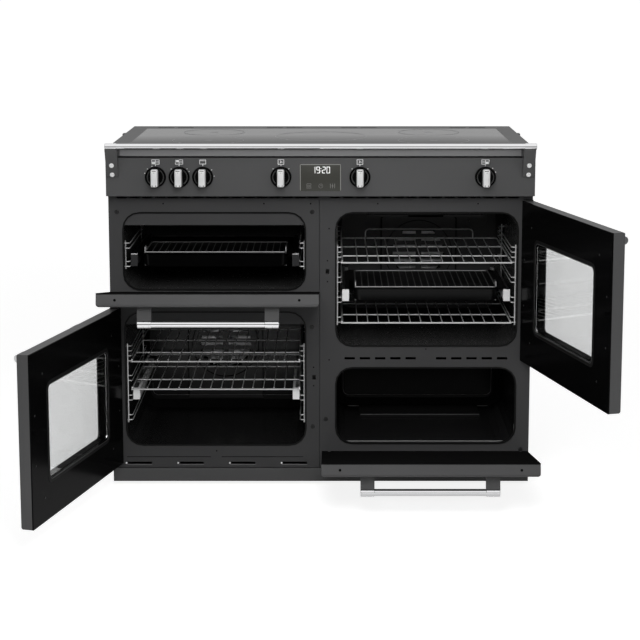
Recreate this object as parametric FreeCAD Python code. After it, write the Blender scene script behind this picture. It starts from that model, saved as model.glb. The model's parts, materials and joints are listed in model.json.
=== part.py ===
"""Range cooker with an induction hob, a control fascia and four ovens behind four doors.

All sizes are in millimetres. X runs from left to right, Y from the front to the back and Z up.
X = 0 and Y = 0 are the middle of the cabinet, and Z = 0 is the underside of its base tray.
The doors are modelled closed and then swung open, which is the pose that the part rests in.
"""

import FreeCAD
import Part

import math
import os

# ------------------------------------------------------------------ cabinet
cabinet_width = 1100.0
cabinet_depth = 600.0
cabinet_top = 868.0  # the side panels' upper edges, where the hob unit stands
sheet = 1.5  # cabinet and liner sheet
frame_sheet = 2.0  # front frames, plinth and fascia
flange = 25.0  # folded edges of the cabinet's sheets
plinth_height = 36.0
frame_bottom = 38.0
frame_lap = 20.0  # how far the front frames reach up behind the fascia
seam_x = -3.0  # where the left and right front frames meet
seam_gap = 1.0
tray_drop = 3.0  # middle of the base tray below its ends, which the feet carry
foot_drop = 10.0
foot_pad_radius = 20.0
foot_stud_radius = 5.0
foot_nut_radius = 8.5
foot_nut_height = 4.0
foot_stud_slack = 0.4  # its flats inside the tray's hole
foot_inset = 80.0
running = 0.05  # radial clearance of pins, shafts and studs
touch = 0.3  # gap between pieces that lie on each other but move
pin_flats = 12
recess_flats = 24
corner_flats = 4  # flats that round each corner of an opening, window or pan

# ------------------------------------------------------------------- fascia
fascia_proud = 38.0  # fascia's face in front of the front frames
fascia_bottom = 769.0
knob_height = 819.0
knob_places = {
    "grill_oven": -422.0,
    "fan_oven": -361.5,
    "grill": -301.0,
    "fan_oven_mode": -101.0,
    "tall_oven_mode": 101.0,
    "slow_oven": 422.0,
}
knob_skirt_radius = 27.0
knob_skirt_depth = 9.0
knob_grip_width = 20.0
knob_grip_height = 46.0
knob_proud = 45.0
knob_shaft_radius = 3.0
knob_bush_depth = 12.0
knob_bush_radius = 7.0
knob_corner = (5.0, 2.0)  # bevel at the grip's ends, across and along
display_width = 107.0
display_bottom = 782.0
display_top = 853.0
display_proud = 0.8
display_border = 3.0
display_depth = 14.0

# --------------------------------------------------------------- towel rail
rail_height = 900.0
rail_stand = 28.0  # rail's axis in front of the fascia
rail_radius = 7.25
rail_cap_radius = 8.5
rail_cap_length = 30.0
rail_length = 1094.0
rail_bracket_drop = 80.0  # bracket's lower end below the rail's axis
rail_bracket_top = 28.0  # where its upper edge meets the fascia, below the rail's axis
rail_bracket_grip = 0.8  # share of the cap that the bracket wraps, from its axis
rail_bracket_sheet = 4.0

# ---------------------------------------------------------------------- hob
hob_top = 895.0
hob_inset = 3.0  # surround's sides inside the cabinet's sides
surround_top = 893.0
surround_bottom = 872.0
surround_plate = 4.0
surround_skirt = 2.0
support_inset = 12.0
glass_half_width = 500.0
glass_thickness = 4.0
glass_front_border = 8.0
glass_back_border = 95.0
glass_gap = 0.5
glass_ledge = 8.0
vent_slot_length = 46.0
vent_slot_width = 9.0
vent_slot_gap = 10.0
vent_group_places = (-421.0, -107.5, 107.5, 421.0)
lug_proud = 6.0
lug_length = 30.0
lug_height = 12.0
lug_place = 85.0
coil_radius = 90.0
coil_thickness = 6.0
coil_places = ((-300.0, -95.0), (-300.0, 95.0), (0.0, -20.0), (300.0, -95.0), (300.0, 95.0))
coil_tray_depth = 42.0

# ------------------------------------------------------------ oven cavities
jamb_outer = 35.0  # front frame beside an opening, at the cabinet's side
jamb_inner = 37.5  # the same, from the middle of the cabinet
corner_radius = 45.0
head_rail = 46.0  # front frames above the upper openings, up to the fascia
grill_oven_height = 208.0
fan_oven_height = 363.0
tall_oven_height = 358.0
slow_oven_height = 209.5
left_rail = 55.0  # front frame between the left openings
right_rail = 54.0  # and between the right ones
ovens = ("grill_oven", "fan_oven", "tall_oven", "slow_oven")
left_ovens = ("grill_oven", "fan_oven")
liner_depth = 400.0
liner_lip = 10.0
liner_back_bevel = 20.0
visor_height = 35.0  # plate that hangs behind the top edge of the left openings
seal_width = 4.0
seal_proud = 1.5
floor_step = 6.0
floor_step_margin = 70.0
floor_step_depth = 134.0
fascia_slot_drop = 7.5  # below the fascia
slot_length = 27.0
slot_height = 6.5
slot_pitch = 33.0
slot_counts = {"left": 16, "right": 15}
first_slots = {"left": -514.5, "right": 37.5}  # middle of each row's first slot
middle_slot_drop = 31.0  # below the tall oven's opening
middle_slot_pitch = 40.0
middle_slot_count = 5  # on each side of the middle
bottom_slot_length = 68.0
bottom_slot_pitch = 137.0
bottom_slot_height = 50.0
bottom_slot_count = 4

# ----------------------------------------------------- fans, elements, lamp
recess_radius = 95.0
recess_depth = 42.0
fan_radius = 72.0
fan_width = 24.0
fan_blades = 12
fan_hub_radius = 12.0
fan_sheet = 1.2
fan_gap = 8.0
fan_shaft_radius = 4.0
fan_shaft_hole = 6.0
motor_radius = 32.0
motor_length = 48.0
element_radius = 3.2
ring_radius = 85.0
cover_width = 214.0
cover_sheet = 1.2
cover_margin = 4.0  # cover's ends from the liner's bevels
grille_pitch = 20.0
grille_slot = 8.0
grille_bridge = 16.0  # middle bar of the grille
grille_radius = 78.0
grille_rows = 7
fan_drops = {"fan_oven": 180.0, "tall_oven": 178.0}  # fan's axis below the oven's roof
grill_drop = 19.0
grill_half_width = 150.0
grill_front = 60.0  # element's front bends behind the front frames
grill_back = 90.0  # its rear bends from the back wall
lamp_radius = 26.0
lamp_depth = 9.0
lamp_inset = 70.0  # from the tall oven's right wall
lamp_drop = 76.0  # and from its roof

# --------------------------------------------------- racks, shelves, runners
rack_stand = 6.0  # upright wires from the cavity's side wall
rung_stand = 17.0
rack_front = 12.0  # from the front frames' faces
rack_back = 362.0
upright_radius = 2.3
rung_radius = 1.75
rung_gap = 13.3
rack_drops = {  # middle of each pair of rungs below the oven's roof, from the lowest
    "grill_oven": (139.5, 91.0),
    "fan_oven": (288.5, 235.2, 181.9, 128.6, 102.0),
    "tall_oven": (288.0, 234.7, 181.4, 128.1, 101.5),
}
shelf_width = 446.0
shelf_front_radius = 3.0
shelf_rail_radius = 2.5
shelf_cross_radius = 2.0
shelf_wire_radius = 1.5
shelf_front = 3.0  # front bar's axis behind the front frames' faces
shelf_back = 372.0
shelf_wires = 14
shelf_wire_pitch = 27.8
cross_places = (102.0, 247.0)
weld = 0.4  # how deep crossing wires sink into each other
fence_width = 304.0
fence_height = 26.0
runner_drops = {"grill_oven": 130.0, "fan_oven": 225.0, "tall_oven": 223.0}  # below the oven's roof
runner_stand = 18.9
runner_length = 350.0
runner_front = 16.5
runner_height = 26.0
runner_web = 1.2
runner_depth = 9.0
runner_gap = 0.3
slide_reach = 15.0  # sliding member's width
end_plate = (19.1, 36.5)
end_plate_height = 31.0
end_plate_sheet = 2.0
carrier = (26.0, 32.0)
runner_shelf_rise = 15.0  # front bar of the shelf that the runners carry, above their middle
upper_shelf_level = 3  # pair of rungs whose lower one carries the upper shelves
lower_shelf_level = 0
pan_rise = 14.0  # rim's underside above the middle of its runners
pan_rim_sheet = 1.5
pan_rim_half_width = 212.0
pan_half_width = 192.0
pan_depth = 36.0
pan_wall = 1.2
pan_front = 20.0
pan_length = 275.0
pan_radius = 20.0
pan_lip = 6.0  # rim beyond the pan's front and back walls
trivet_inset = 6.0
trivet_rise = 3.0  # trivet's wires above the pan's rim
trivet_wires = 13

# -------------------------------------------------------------------- doors
door_gap = 2.5  # door's inner face in front of the front frames
door_thickness = 34.5
door_side_gap = 4.5
door_meeting_gap = 6.5
door_skin = 2.5
door_edge_radius = 8.0
inner_panel = 3.5
side_doors = {"fan_oven": (54.0, 471.0), "tall_oven": (332.0, 754.0)}
drop_doors = {"grill_oven": (481.0, 754.0), "slow_oven": (53.0, 326.0)}
side_open = 105.2
drop_open = 79.5
window_width = 350.0
window_height = 228.0
window_radius = 13.0
window_lip = 2.0
window_frame = 2.5
pane_thickness = 4.0
hinge_inset = 7.5  # side door's pin from the door's edge
hinge_back = 18.0  # its pin in front of the front frames
hinge_pin_radius = 3.0
hinge_pin_length = 14.0
hinge_plate = 2.5
hinge_plate_gap = 0.5
hinge_boss_radius = 6.0
hinge_boss_end = 2.0  # room at the pin's end, and the boss's closed end
hinge_plate_reach = 9.6  # plate's inner edge from the pin
arm_inset = 19.0  # drop door's hinge arms from the door's sides
arm_sheet = 4.0
arm_half_height = 4.2
arm_foot_height = 24.0
pivot_front = 7.0  # drop door's pin from the door's outer face
pivot_rise = 9.0
pivot_pin_radius = 2.5
pivot_pin_length = 9.0
pivot_boss = 7.0
notch_room = 1.2
catch_hole = (9.0, 12.0)
catch_peg = (5.0, 7.0, 9.0)
catch_height = {"fan_oven": 283.0, "tall_oven": 566.0}
catch_edge = 14.5
catch_wall = 1.5
catch_depth = 14.0

# ------------------------------------------------------------------ handles
handle_length = 348.0
handle_radius = 8.7
handle_cap_radius = 10.5
handle_cap_length = 35.0
handle_stand = 42.0  # bar's axis in front of the door's outer face
handle_drop = 36.0  # and below the door's upper edge
handle_bracket_height = 14.0

# -------------------------------------------------------- back of the cooker
gland_place = (430.0, 120.0)
gland_bore = 9.0
gland_radius = 14.0
gland_proud = 8.0
terminal_size = (90.0, 36.0, 70.0)
terminal_wall = 2.0
fixing_height = 800.0
fixing_spacing = 960.0
fixing_hole_radius = 4.0

# ------------------------------------------------------------ derived places
half = cabinet_width / 2
front = -cabinet_depth / 2
back = cabinet_depth / 2
frame_face = front + fascia_proud
frame_back = frame_face + frame_sheet
door_back = frame_face - door_gap
door_front = door_back - door_thickness
rung_side = shelf_width / 2 - shelf_front_radius
OUT = "parts"


def at(x, y, z):
    """Point or direction."""
    return FreeCAD.Vector(x, y, z)


def block(x0, x1, y0, y1, z0, z1):
    """Box between two values on each axis, given in either order."""
    (x0, x1), (y0, y1), (z0, z1) = sorted((x0, x1)), sorted((y0, y1)), sorted((z0, z1))
    return Part.makeBox(x1 - x0, y1 - y0, z1 - z0, at(x0, y0, z0))


def drum(radius, start, end):
    """Round bar from one point to another."""
    return Part.makeCylinder(radius, (end - start).Length, start, end - start)


def joined(shapes):
    """One solid from pieces that touch or overlap."""
    return shapes[0].multiFuse(shapes[1:]).removeSplitter()


def slab(a, b, c, radius, plane="xz"):
    """Plate with corners rounded in flats: spans a by b in its plane and runs over c."""
    (a0, a1), (b0, b1), (c0, c1) = a, b, c
    points = []
    for corner_a, corner_b, start in ((a1, b1, 0), (a0, b1, 90), (a0, b0, 180), (a1, b0, 270)):
        middle_a = corner_a + (radius if corner_a == a0 else -radius)
        middle_b = corner_b + (radius if corner_b == b0 else -radius)
        for step in range(corner_flats + 1):
            turn = math.radians(start + 90 / corner_flats * step)
            u, v = middle_a + radius * math.cos(turn), middle_b + radius * math.sin(turn)
            points.append(at(u, c0, v) if plane == "xz" else at(u, v, c0))
    along = at(0, c1 - c0, 0) if plane == "xz" else at(0, 0, c1 - c0)
    return Part.Face(Part.makePolygon(points + points[:1])).extrude(along)


def profile(points, x0, x1):
    """Plate along X with the outline given as (y, z) points."""
    outline = [at(x0, y, z) for y, z in points]
    return Part.Face(Part.makePolygon(outline + outline[:1])).extrude(at(x1 - x0, 0, 0))


def turned(steps, y, z):
    """Solid of revolution about a line along X, from (x, radius) steps."""
    outline = [at(steps[0][0], y, z)]
    outline += [at(x, y, z + radius) for x, radius in steps]
    outline += [at(steps[-1][0], y, z)]
    face = Part.Face(Part.makePolygon(outline + outline[:1]))
    return face.revolve(at(0, y, z), at(1, 0, 0), 360)


def rod(start, end, radius, sides=6):
    """Straight wire with flats above and below, whose flats are the radius from its axis."""
    along = end - start
    upright = at(0, 0, 1) if abs(along.z) < 0.9 * along.Length else at(0, 1, 0)
    side = along.cross(upright).normalize()
    up = side.cross(along).normalize()
    reach = radius / math.cos(math.pi / sides)
    points = []
    for step in range(sides):
        turn = math.pi / 2 + (2 * step + 1) * math.pi / sides
        points.append(start + side * (reach * math.cos(turn)) + up * (reach * math.sin(turn)))
    return Part.Face(Part.makePolygon(points + points[:1])).extrude(along)


def pin(radius, start, end):
    """Pin or shaft of twelve flats whose corners lie on the radius."""
    return rod(start, end, radius * math.cos(math.pi / pin_flats), pin_flats)


def bore(radius, start, end):
    """Cutter for a pin's hole, with flats at the radius, so that the pin turns freely."""
    return rod(start, end, radius, pin_flats)


def ribbon(path, radius, z):
    """Wire of square section bent to and fro in a level plane, along (x, y) points."""
    sides = ([], [])
    for step, (x, y) in enumerate(path):
        before = path[max(step - 1, 0)]
        after = path[min(step + 1, len(path) - 1)]
        ways = [at(x - before[0], y - before[1], 0), at(after[0] - x, after[1] - y, 0)]
        ways = [way.normalize() for way in ways if way.Length]
        normal = sum((at(-way.y, way.x, 0) for way in ways[1:]), at(-ways[0].y, ways[0].x, 0))
        offset = normal * (radius * len(ways) / normal.Length ** 2) if len(ways) > 1 else normal * radius
        for points, sign in zip(sides, (1, -1)):
            points.append(at(x + sign * offset.x, y + sign * offset.y, z - radius))
    outline = sides[0] + sides[1][::-1]
    return Part.Face(Part.makePolygon(outline + outline[:1])).extrude(at(0, 0, 2 * radius))


def save(name, *solids):
    """Write a node's solids after checking them."""
    for solid in solids:
        if not solid.isValid() or len(solid.Solids) != 1 or solid.Volume <= 0:
            raise ValueError(f"{name} has a faulty solid: {len(solid.Solids)} in one")
    shape = solids[0] if len(solids) == 1 else Part.makeCompound(list(solids))
    shape.exportStep(f"{OUT}/{name}.step")


def cavity(oven):
    """Left, right, bottom and top of an opening, stacked down from the fascia."""
    high = fascia_bottom - head_rail
    low = high - (grill_oven_height if oven in left_ovens else tall_oven_height)
    if oven == "fan_oven":
        high = low - left_rail
        low = high - fan_oven_height
    elif oven == "slow_oven":
        high = low - right_rail
        low = high - slow_oven_height
    if oven in left_ovens:
        return -half + jamb_outer, -jamb_inner, low, high
    return jamb_inner, half - jamb_outer, low, high


def below_roof(oven, drop):
    """Height at a drop below an oven's roof."""
    return cavity(oven)[3] - drop


def rung_height(oven, level):
    """Height of the lower rung of a pair, which carries a shelf's front bar."""
    return below_roof(oven, rack_drops[oven][level]) - rung_gap / 2


def liner_front(oven):
    """Where a liner's lip starts: behind the visor in the left ovens."""
    return frame_back + (frame_sheet if oven in left_ovens else 0)


def liner_back(oven):
    """Front of a liner's back wall."""
    return frame_back + liner_depth


# ------------------------------------------------------------------ cabinet
def cabinet():
    """Side panels with folded tops, back panel, base tray, feet and plinth."""
    panels = []
    for side in (-1, 1):
        inside = side * (half - sheet)
        wall = block(side * half, inside, frame_face, back, 0, cabinet_top)
        fold = block(inside, inside - side * flange, frame_back + frame_lap, back - sheet,
                     cabinet_top - sheet, cabinet_top)
        panels.append(joined([wall, fold]))
    rear = block(-half + sheet, half - sheet, back - sheet, back, 0, cabinet_top - sheet)
    gland_x, gland_z = gland_place
    rear = rear.cut(drum(gland_radius, at(gland_x, back - flange, gland_z), at(gland_x, back + flange, gland_z)))
    for side in (-1, 1):
        x = side * fixing_spacing / 2
        rear = rear.cut(drum(fixing_hole_radius, at(x, back - flange, fixing_height),
                             at(x, back + flange, fixing_height)))
    save("cabinet_panels", *panels, rear)

    inner = half - sheet
    tray_front = frame_back + foot_pad_radius
    ledge = inner - 2 * foot_inset
    tray = joined([block(-inner, inner, tray_front, back - sheet, tray_drop, flange),
                   block(-ledge, ledge, tray_front, back - sheet, 0, flange)])
    tray = tray.cut(joined([block(-inner + sheet, inner - sheet, tray_front + sheet, back - 2 * sheet,
                                  tray_drop + sheet, flange),
                            block(-ledge + sheet, ledge - sheet, tray_front + sheet, back - 2 * sheet,
                                  sheet, flange)]))
    feet = []
    for x in (-half + foot_inset, half - foot_inset):
        for y in (frame_face + foot_inset, back - foot_inset):
            hole = bore(foot_stud_radius + running, at(x, y, 0), at(x, y, tray_drop + 2 * sheet))
            tray = tray.cut(hole)
            feet.append(foot(x, y))
    save("base_tray", tray)
    save("levelling_feet", *feet)

    plinth = block(-half, half, frame_face, frame_back, 0, plinth_height)
    fold = block(-inner, inner, frame_back, tray_front, plinth_height - frame_sheet, plinth_height)
    foot_fold = block(-inner, inner, frame_back, tray_front, 0, frame_sheet)
    save("plinth", joined([plinth, fold, foot_fold]).cut(joined(cabinet_side_edges())))


def cabinet_side_edges():
    """Front edges of the side panels, which the plinth and frames lie between."""
    return [block(side * half, side * (half - sheet), frame_face, frame_back + flange, 0, cabinet_top)
            for side in (-1, 1)]


def foot(x, y):
    """Levelling foot: pad, hexagon and stud."""
    pad = rod(at(x, y, -foot_drop), at(x, y, -foot_nut_height), foot_pad_radius, 16)
    nut = rod(at(x, y, -foot_nut_height), at(x, y, tray_drop), foot_nut_radius)
    stud = rod(at(x, y, tray_drop), at(x, y, flange - sheet), foot_stud_radius - foot_stud_slack, 8)
    return joined([pad, nut, stud])


# ------------------------------------------------------------- front frames
def slot(x, z, length, height):
    """Cutter for a slot through a front frame."""
    return block(x - length / 2, x + length / 2, frame_face - 1, frame_back + 1,
                 z - height / 2, z + height / 2)


def frame(pair, x0, x1, slots):
    """Sheet frame with folded edges round two openings."""
    top = fascia_bottom + frame_lap
    pieces = [block(x0, x1, frame_face, frame_back, frame_bottom, top)]
    for side, other in ((x0, x0 + frame_sheet), (x1 - frame_sheet, x1)):
        pieces.append(block(side, other, frame_back, frame_back + frame_lap, frame_bottom, top))
    for oven in pair:
        left, right, low, high = cavity(oven)
        if oven in left_ovens:
            pieces.append(block(left - liner_lip, right + liner_lip, frame_back, frame_back + frame_sheet,
                                high - visor_height, high + liner_lip))
    shape = joined(pieces)
    cutters = list(slots)
    for oven in pair:
        left, right, low, high = cavity(oven)
        cutters.append(slab((left, right), (low, high), (frame_face - 1, frame_back), corner_radius))
    return shape.cut(Part.makeCompound(cutters)).removeSplitter()


def front_frames():
    """Left and right frames with vent slots, catch holes and visors."""
    row_height = fascia_bottom - fascia_slot_drop
    rows = {name: [slot(first_slots[name] + slot_pitch * n, row_height, slot_length, slot_height)
                   for n in range(count)] for name, count in slot_counts.items()}
    left, right, _, _ = cavity("fan_oven")
    middle = (left + right) / 2
    rows["left"] += [slot(middle + bottom_slot_pitch * (n - (bottom_slot_count - 1) / 2), bottom_slot_height,
                          bottom_slot_length, slot_height) for n in range(bottom_slot_count)]
    left, right, low, _ = cavity("tall_oven")
    middle = (left + right) / 2
    for side in (-1, 1):
        rows["right"] += [slot(middle + side * middle_slot_pitch * (n + 1), low - middle_slot_drop, slot_length,
                               slot_height) for n in range(middle_slot_count)]
    for name, oven in (("left", "fan_oven"), ("right", "tall_oven")):
        width, height = catch_hole
        rows[name].append(slot(catch_x(oven), catch_height[oven], width, height))
    inner = half - sheet
    save("front_frame_left", frame(left_ovens, -inner, seam_x - seam_gap / 2, rows["left"]))
    save("front_frame_right", frame(("tall_oven", "slow_oven"), seam_x + seam_gap / 2, inner, rows["right"]))


def door_seals():
    """Gaskets in the edges of the four openings."""
    seals = []
    for oven in ovens:
        left, right, low, high = cavity(oven)
        over = (frame_face - seal_proud, frame_back)
        outer = slab((left, right), (low, high), over, corner_radius)
        inner = slab((left + seal_width, right - seal_width), (low + seal_width, high - seal_width), over,
                     corner_radius - seal_width)
        seals.append(outer.cut(inner))
    save("door_seals", *seals)


# ------------------------------------------------------------------- fascia
def fascia():
    """Control panel with knob bushes and a window for the display, and the display."""
    over = (-half, half, front, frame_face, fascia_bottom, cabinet_top)
    panel = block(*over)
    hollow = block(-half + frame_sheet, half - frame_sheet, front + frame_sheet, frame_face,
                   fascia_bottom + frame_sheet, cabinet_top - frame_sheet)
    pieces = [panel.cut(hollow)]
    for x in knob_places.values():
        pieces.append(rod(at(x, front + frame_sheet / 2, knob_height),
                          at(x, front + knob_bush_depth, knob_height), knob_bush_radius))
    panel = joined(pieces)
    border, half_width = display_border, display_width / 2
    window = block(-half_width + border, half_width - border, front - 1, front + frame_sheet + 1,
                   display_bottom + border, display_top - border)
    cutters = [bore(knob_shaft_radius + running, at(x, front - 1, knob_height),
                    at(x, front + 2 * knob_bush_depth, knob_height)) for x in knob_places.values()]
    save("control_panel", panel.cut(Part.makeCompound(cutters + [window])))

    plate = block(-half_width, half_width, front - display_proud, front, display_bottom, display_top)
    room = border + touch
    body = block(-half_width + room, half_width - room, front, front + display_depth,
                 display_bottom + room, display_top - room)
    save("display_module", joined([plate, body]))


def knobs():
    """Knob: skirt, grip bar with rounded ends and shaft."""
    face = front - touch
    for name, x in knob_places.items():
        skirt = rod(at(x, face, knob_height), at(x, face - knob_skirt_depth, knob_height), knob_skirt_radius, 28)
        side, top = knob_grip_width / 2, knob_grip_height / 2
        across, down = knob_corner
        ends = [(side, top - down), (side - across, top), (across - side, top), (-side, top - down)]
        outline = [at(x + u, front - knob_proud, knob_height + v) for u, v in ends]
        outline += [at(x - u, front - knob_proud, knob_height - v) for u, v in ends]
        grip = Part.Face(Part.makePolygon(outline + outline[:1])).extrude(at(0, knob_proud - knob_skirt_depth, 0))
        shaft = pin(knob_shaft_radius, at(x, face, knob_height), at(x, front + knob_bush_depth, knob_height))
        save(f"knob_{name}", joined([skirt, grip, shaft]))


def towel_rail():
    """Rail with end caps, on two folded brackets."""
    y = front - rail_stand
    end, cap = rail_length / 2, rail_length / 2 - rail_cap_length
    save("towel_rail", turned([(-end, rail_cap_radius), (-cap, rail_cap_radius), (-cap, rail_radius),
                               (cap, rail_radius), (cap, rail_cap_radius), (end, rail_cap_radius)], y, rail_height))
    brackets = []
    seat = drum(rail_cap_radius + running, at(-half, y, rail_height), at(half, y, rail_height))
    for side in (-1, 1):
        low, grip = rail_height - rail_bracket_drop, rail_cap_radius * rail_bracket_grip
        outline = [(front, low), (front - rail_bracket_sheet, low), (y - grip, rail_height - rail_cap_radius),
                   (y - grip, rail_height), (y + grip, rail_height), (front, rail_height - rail_bracket_top)]
        plate = profile(outline, side * end, side * cap)
        brackets.append(plate.cut(seat))
    save("rail_brackets", *brackets)


# ---------------------------------------------------------------------- hob
def hob():
    """Steel surround with a skirt, lugs and rear slots, ceramic glass and the induction unit."""
    side = half - hob_inset
    near, far = front + surround_skirt, back
    plate = surround_top - surround_plate
    shell = block(-side, side, near, far, surround_bottom, surround_top)
    shell = shell.cut(block(-side + surround_skirt, side - surround_skirt, near + surround_skirt,
                            far - surround_skirt, surround_bottom, plate))
    foot_out, foot_in = side - support_inset, side - support_inset - surround_skirt
    ring = block(-foot_out, foot_out, near + fascia_proud + frame_lap, far - support_inset, cabinet_top, plate)
    ring = ring.cut(block(-foot_in, foot_in, near + fascia_proud + frame_lap + surround_skirt,
                          far - support_inset - surround_skirt, cabinet_top, plate))
    pieces = [shell, ring]
    for edge in (-1, 1):
        pieces.append(block(edge * side, edge * (side + lug_proud), lug_place - lug_length / 2,
                            lug_place + lug_length / 2, surround_top - lug_height, surround_top))
    surround = joined(pieces)
    glass_near, glass_far = near + glass_front_border, back - glass_back_border
    seat = hob_top - glass_thickness
    room = glass_half_width + glass_gap
    cutters = [
        block(-room, room, glass_near - glass_gap, glass_far + glass_gap, seat, surround_top),
        block(-room + glass_ledge, room - glass_ledge, glass_near + glass_ledge, glass_far - glass_ledge,
              plate, surround_top),
    ]
    slot_y = (glass_far + far) / 2
    for middle in vent_group_places:
        for edge in (-1, 1):
            x = middle + edge * (vent_slot_length + vent_slot_gap) / 2
            cutters.append(block(x - vent_slot_length / 2, x + vent_slot_length / 2, slot_y - vent_slot_width / 2,
                                 slot_y + vent_slot_width / 2, plate - 1, surround_top + 1))
    save("hob_surround", surround.cut(Part.makeCompound(cutters)))
    save("hob_glass", block(-glass_half_width, glass_half_width, glass_near, glass_far, seat, hob_top))

    unit = glass_half_width - support_inset
    low = plate - coil_tray_depth
    near, far = glass_near + fascia_proud + frame_lap, glass_far - surround_skirt
    tray = block(-unit, unit, near, far, low, plate)
    tray = tray.cut(block(-unit + sheet, unit - sheet, near + sheet, far - sheet, low + sheet, plate))
    tray = tray.cut(block(-unit, unit, near, glass_near + glass_ledge, plate - sheet, plate))
    parts = [tray]
    for x, y in coil_places:
        parts.append(rod(at(x, y, low), at(x, y, seat - touch), coil_radius * 0.15))
        parts.append(rod(at(x, y, seat - touch - coil_thickness), at(x, y, seat - touch), coil_radius, 12))
    save("induction_unit", joined(parts))


# -------------------------------------------------------------- oven liners
def tub(oven, grow, bevel, y0, y1):
    """Block round an opening's outline with bevelled corners."""
    left, right, low, high = cavity(oven)
    left, right, low, high = left - grow, right + grow, low - grow, high + grow
    outline = [at(left + bevel, y0, low), at(right - bevel, y0, low), at(right, y0, low + bevel),
               at(right, y0, high - bevel), at(right - bevel, y0, high), at(left + bevel, y0, high),
               at(left, y0, high - bevel), at(left, y0, low + bevel)]
    return Part.Face(Part.makePolygon(outline + outline[:1])).extrude(at(0, y1 - y0, 0))


def liner(oven):
    """Enamelled box, open to the front, with a lip behind the frame and a round fan recess."""
    left, right, low, high = cavity(oven)
    start, end = liner_front(oven), liner_back(oven)
    outer = tub(oven, sheet, corner_radius * 0.5, start, end + sheet)
    lip = tub(oven, liner_lip, corner_radius * 0.4, start, start + sheet)
    inner = slab((left, right), (low, high), (start, end), corner_radius)
    shape = joined([outer, lip])
    rear_edges = [edge for edge in inner.Edges if min(v.Y for v in edge.Vertexes) > end - 1e-6]
    inner = inner.makeChamfer(liner_back_bevel, rear_edges)
    if oven in fan_drops:
        x, z = (left + right) / 2, below_roof(oven, fan_drops[oven])
        rear = end + recess_depth
        cup = rod(at(x, end, z), at(x, rear + sheet, z), recess_radius + sheet, recess_flats)
        shape = joined([shape, cup])
        inner = joined([inner, rod(at(x, end - sheet, z), at(x, rear, z), recess_radius, recess_flats),
                        bore(fan_shaft_hole, at(x, rear - sheet, z), at(x, rear + 2 * sheet, z))])
    shape = shape.cut(inner)
    if oven == "slow_oven":
        step = block(left + floor_step_margin, right - floor_step_margin, end - floor_step_depth,
                     end - liner_back_bevel, low - sheet / 2, low + floor_step)
        shape = joined([shape, step])
    save(f"liner_{oven}", shape)


def fan_parts():
    """Fan covers, wheels and motors, ring elements and grill elements, and the lamp."""
    covers, motors, elements = [], [], []
    for oven, drop in fan_drops.items():
        left, right, low, high = cavity(oven)
        z = high - drop
        x, wall = (left + right) / 2, liner_back(oven)
        reach = (high - low) / 2 - liner_back_bevel - cover_margin if oven == "fan_oven" else cover_width / 2
        middle = (high + low) / 2 if oven == "fan_oven" else z
        cover = block(x - cover_width / 2, x + cover_width / 2, wall - cover_sheet, wall,
                      middle - reach, middle + reach)
        grilles = []
        for row in range(grille_rows):
            rise = (row - (grille_rows - 1) / 2) * grille_pitch
            reach_x = math.sqrt(grille_radius ** 2 - rise ** 2) - grille_slot / 2
            for side in (-1, 1):
                grilles.append(block(x + side * grille_bridge / 2, x + side * reach_x, wall - 2 * cover_sheet,
                                     wall + cover_sheet, z + rise - grille_slot / 2, z + rise + grille_slot / 2))
        covers.append(cover.cut(Part.makeCompound(grilles)))
        motors.append(motor(x, wall + recess_depth + sheet, z))
        elements.append(ring_element(x, wall, z))
        save(f"fan_wheel_{oven}", fan_wheel(x, wall, z))
    for oven in ("grill_oven", "tall_oven"):
        elements.append(grill_element(oven))
    save("fan_covers", *covers)
    save("fan_motors", *motors)
    save("heating_elements", *elements)
    _, right, _, high = cavity("tall_oven")
    x, z = right - lamp_inset, high - lamp_drop
    wall = liner_back("tall_oven")
    save("oven_lamp", rod(at(x, wall - lamp_depth, z), at(x, wall, z), lamp_radius, 20))


def motor(x, y, z):
    """Fan motor with its shaft hole, on the back of the recess."""
    body = rod(at(x, y, z), at(x, y + motor_length, z), motor_radius, recess_flats)
    return body.cut(bore(fan_shaft_radius + running, at(x, y - 1, z), at(x, y + motor_length / 2, z)))


def fan_wheel(x, wall, z):
    """Radial fan: back plate, hub, blades and shaft."""
    near, far = wall + fan_gap, wall + fan_gap + fan_width
    pieces = [rod(at(x, far - fan_sheet, z), at(x, far, z), fan_radius, 24),
              rod(at(x, near, z), at(x, far, z), fan_hub_radius, 8)]
    for step in range(fan_blades):
        blade = block(fan_hub_radius / 2, fan_radius, near, far, -fan_sheet / 2, fan_sheet / 2)
        blade.rotate(at(0, 0, 0), at(0, 1, 0), 360 / fan_blades * step)
        blade.translate(at(x, 0, z))
        pieces.append(blade)
    pieces.append(pin(fan_shaft_radius, at(x, far, z),
                      at(x, wall + recess_depth + sheet + motor_length / 2 - touch, z)))
    return joined(pieces)


def ring_element(x, wall, z):
    """Heating ring round the fan wheel, with a terminal through to the recess's back."""
    y = wall + fan_gap + fan_width / 2
    ring = rod(at(x, y - element_radius, z), at(x, y + element_radius, z), ring_radius + element_radius, 16)
    ring = ring.cut(rod(at(x, y - fan_width, z), at(x, y + fan_width, z), ring_radius - element_radius, 16))
    tail = rod(at(x, y, z - ring_radius), at(x, wall + recess_depth, z - ring_radius), element_radius * 0.9)
    return joined([ring, tail])


def grill_element(oven):
    """Three loops of heating rod under a cavity's roof, fixed in its back wall."""
    left, right, _, high = cavity(oven)
    x, z, wall = (left + right) / 2, high - grill_drop, liner_back(oven)
    near, inner = frame_back + grill_front, wall - grill_back
    third = grill_half_width / 3
    end = wall - liner_back_bevel + grill_drop - element_radius - touch / 2
    path = [(-grill_half_width, end), (-grill_half_width, near), (-third, near), (-third, inner),
            (third, inner), (third, near), (grill_half_width, near), (grill_half_width, end)]
    return ribbon([(x + across, y) for across, y in path], element_radius, z)


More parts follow.
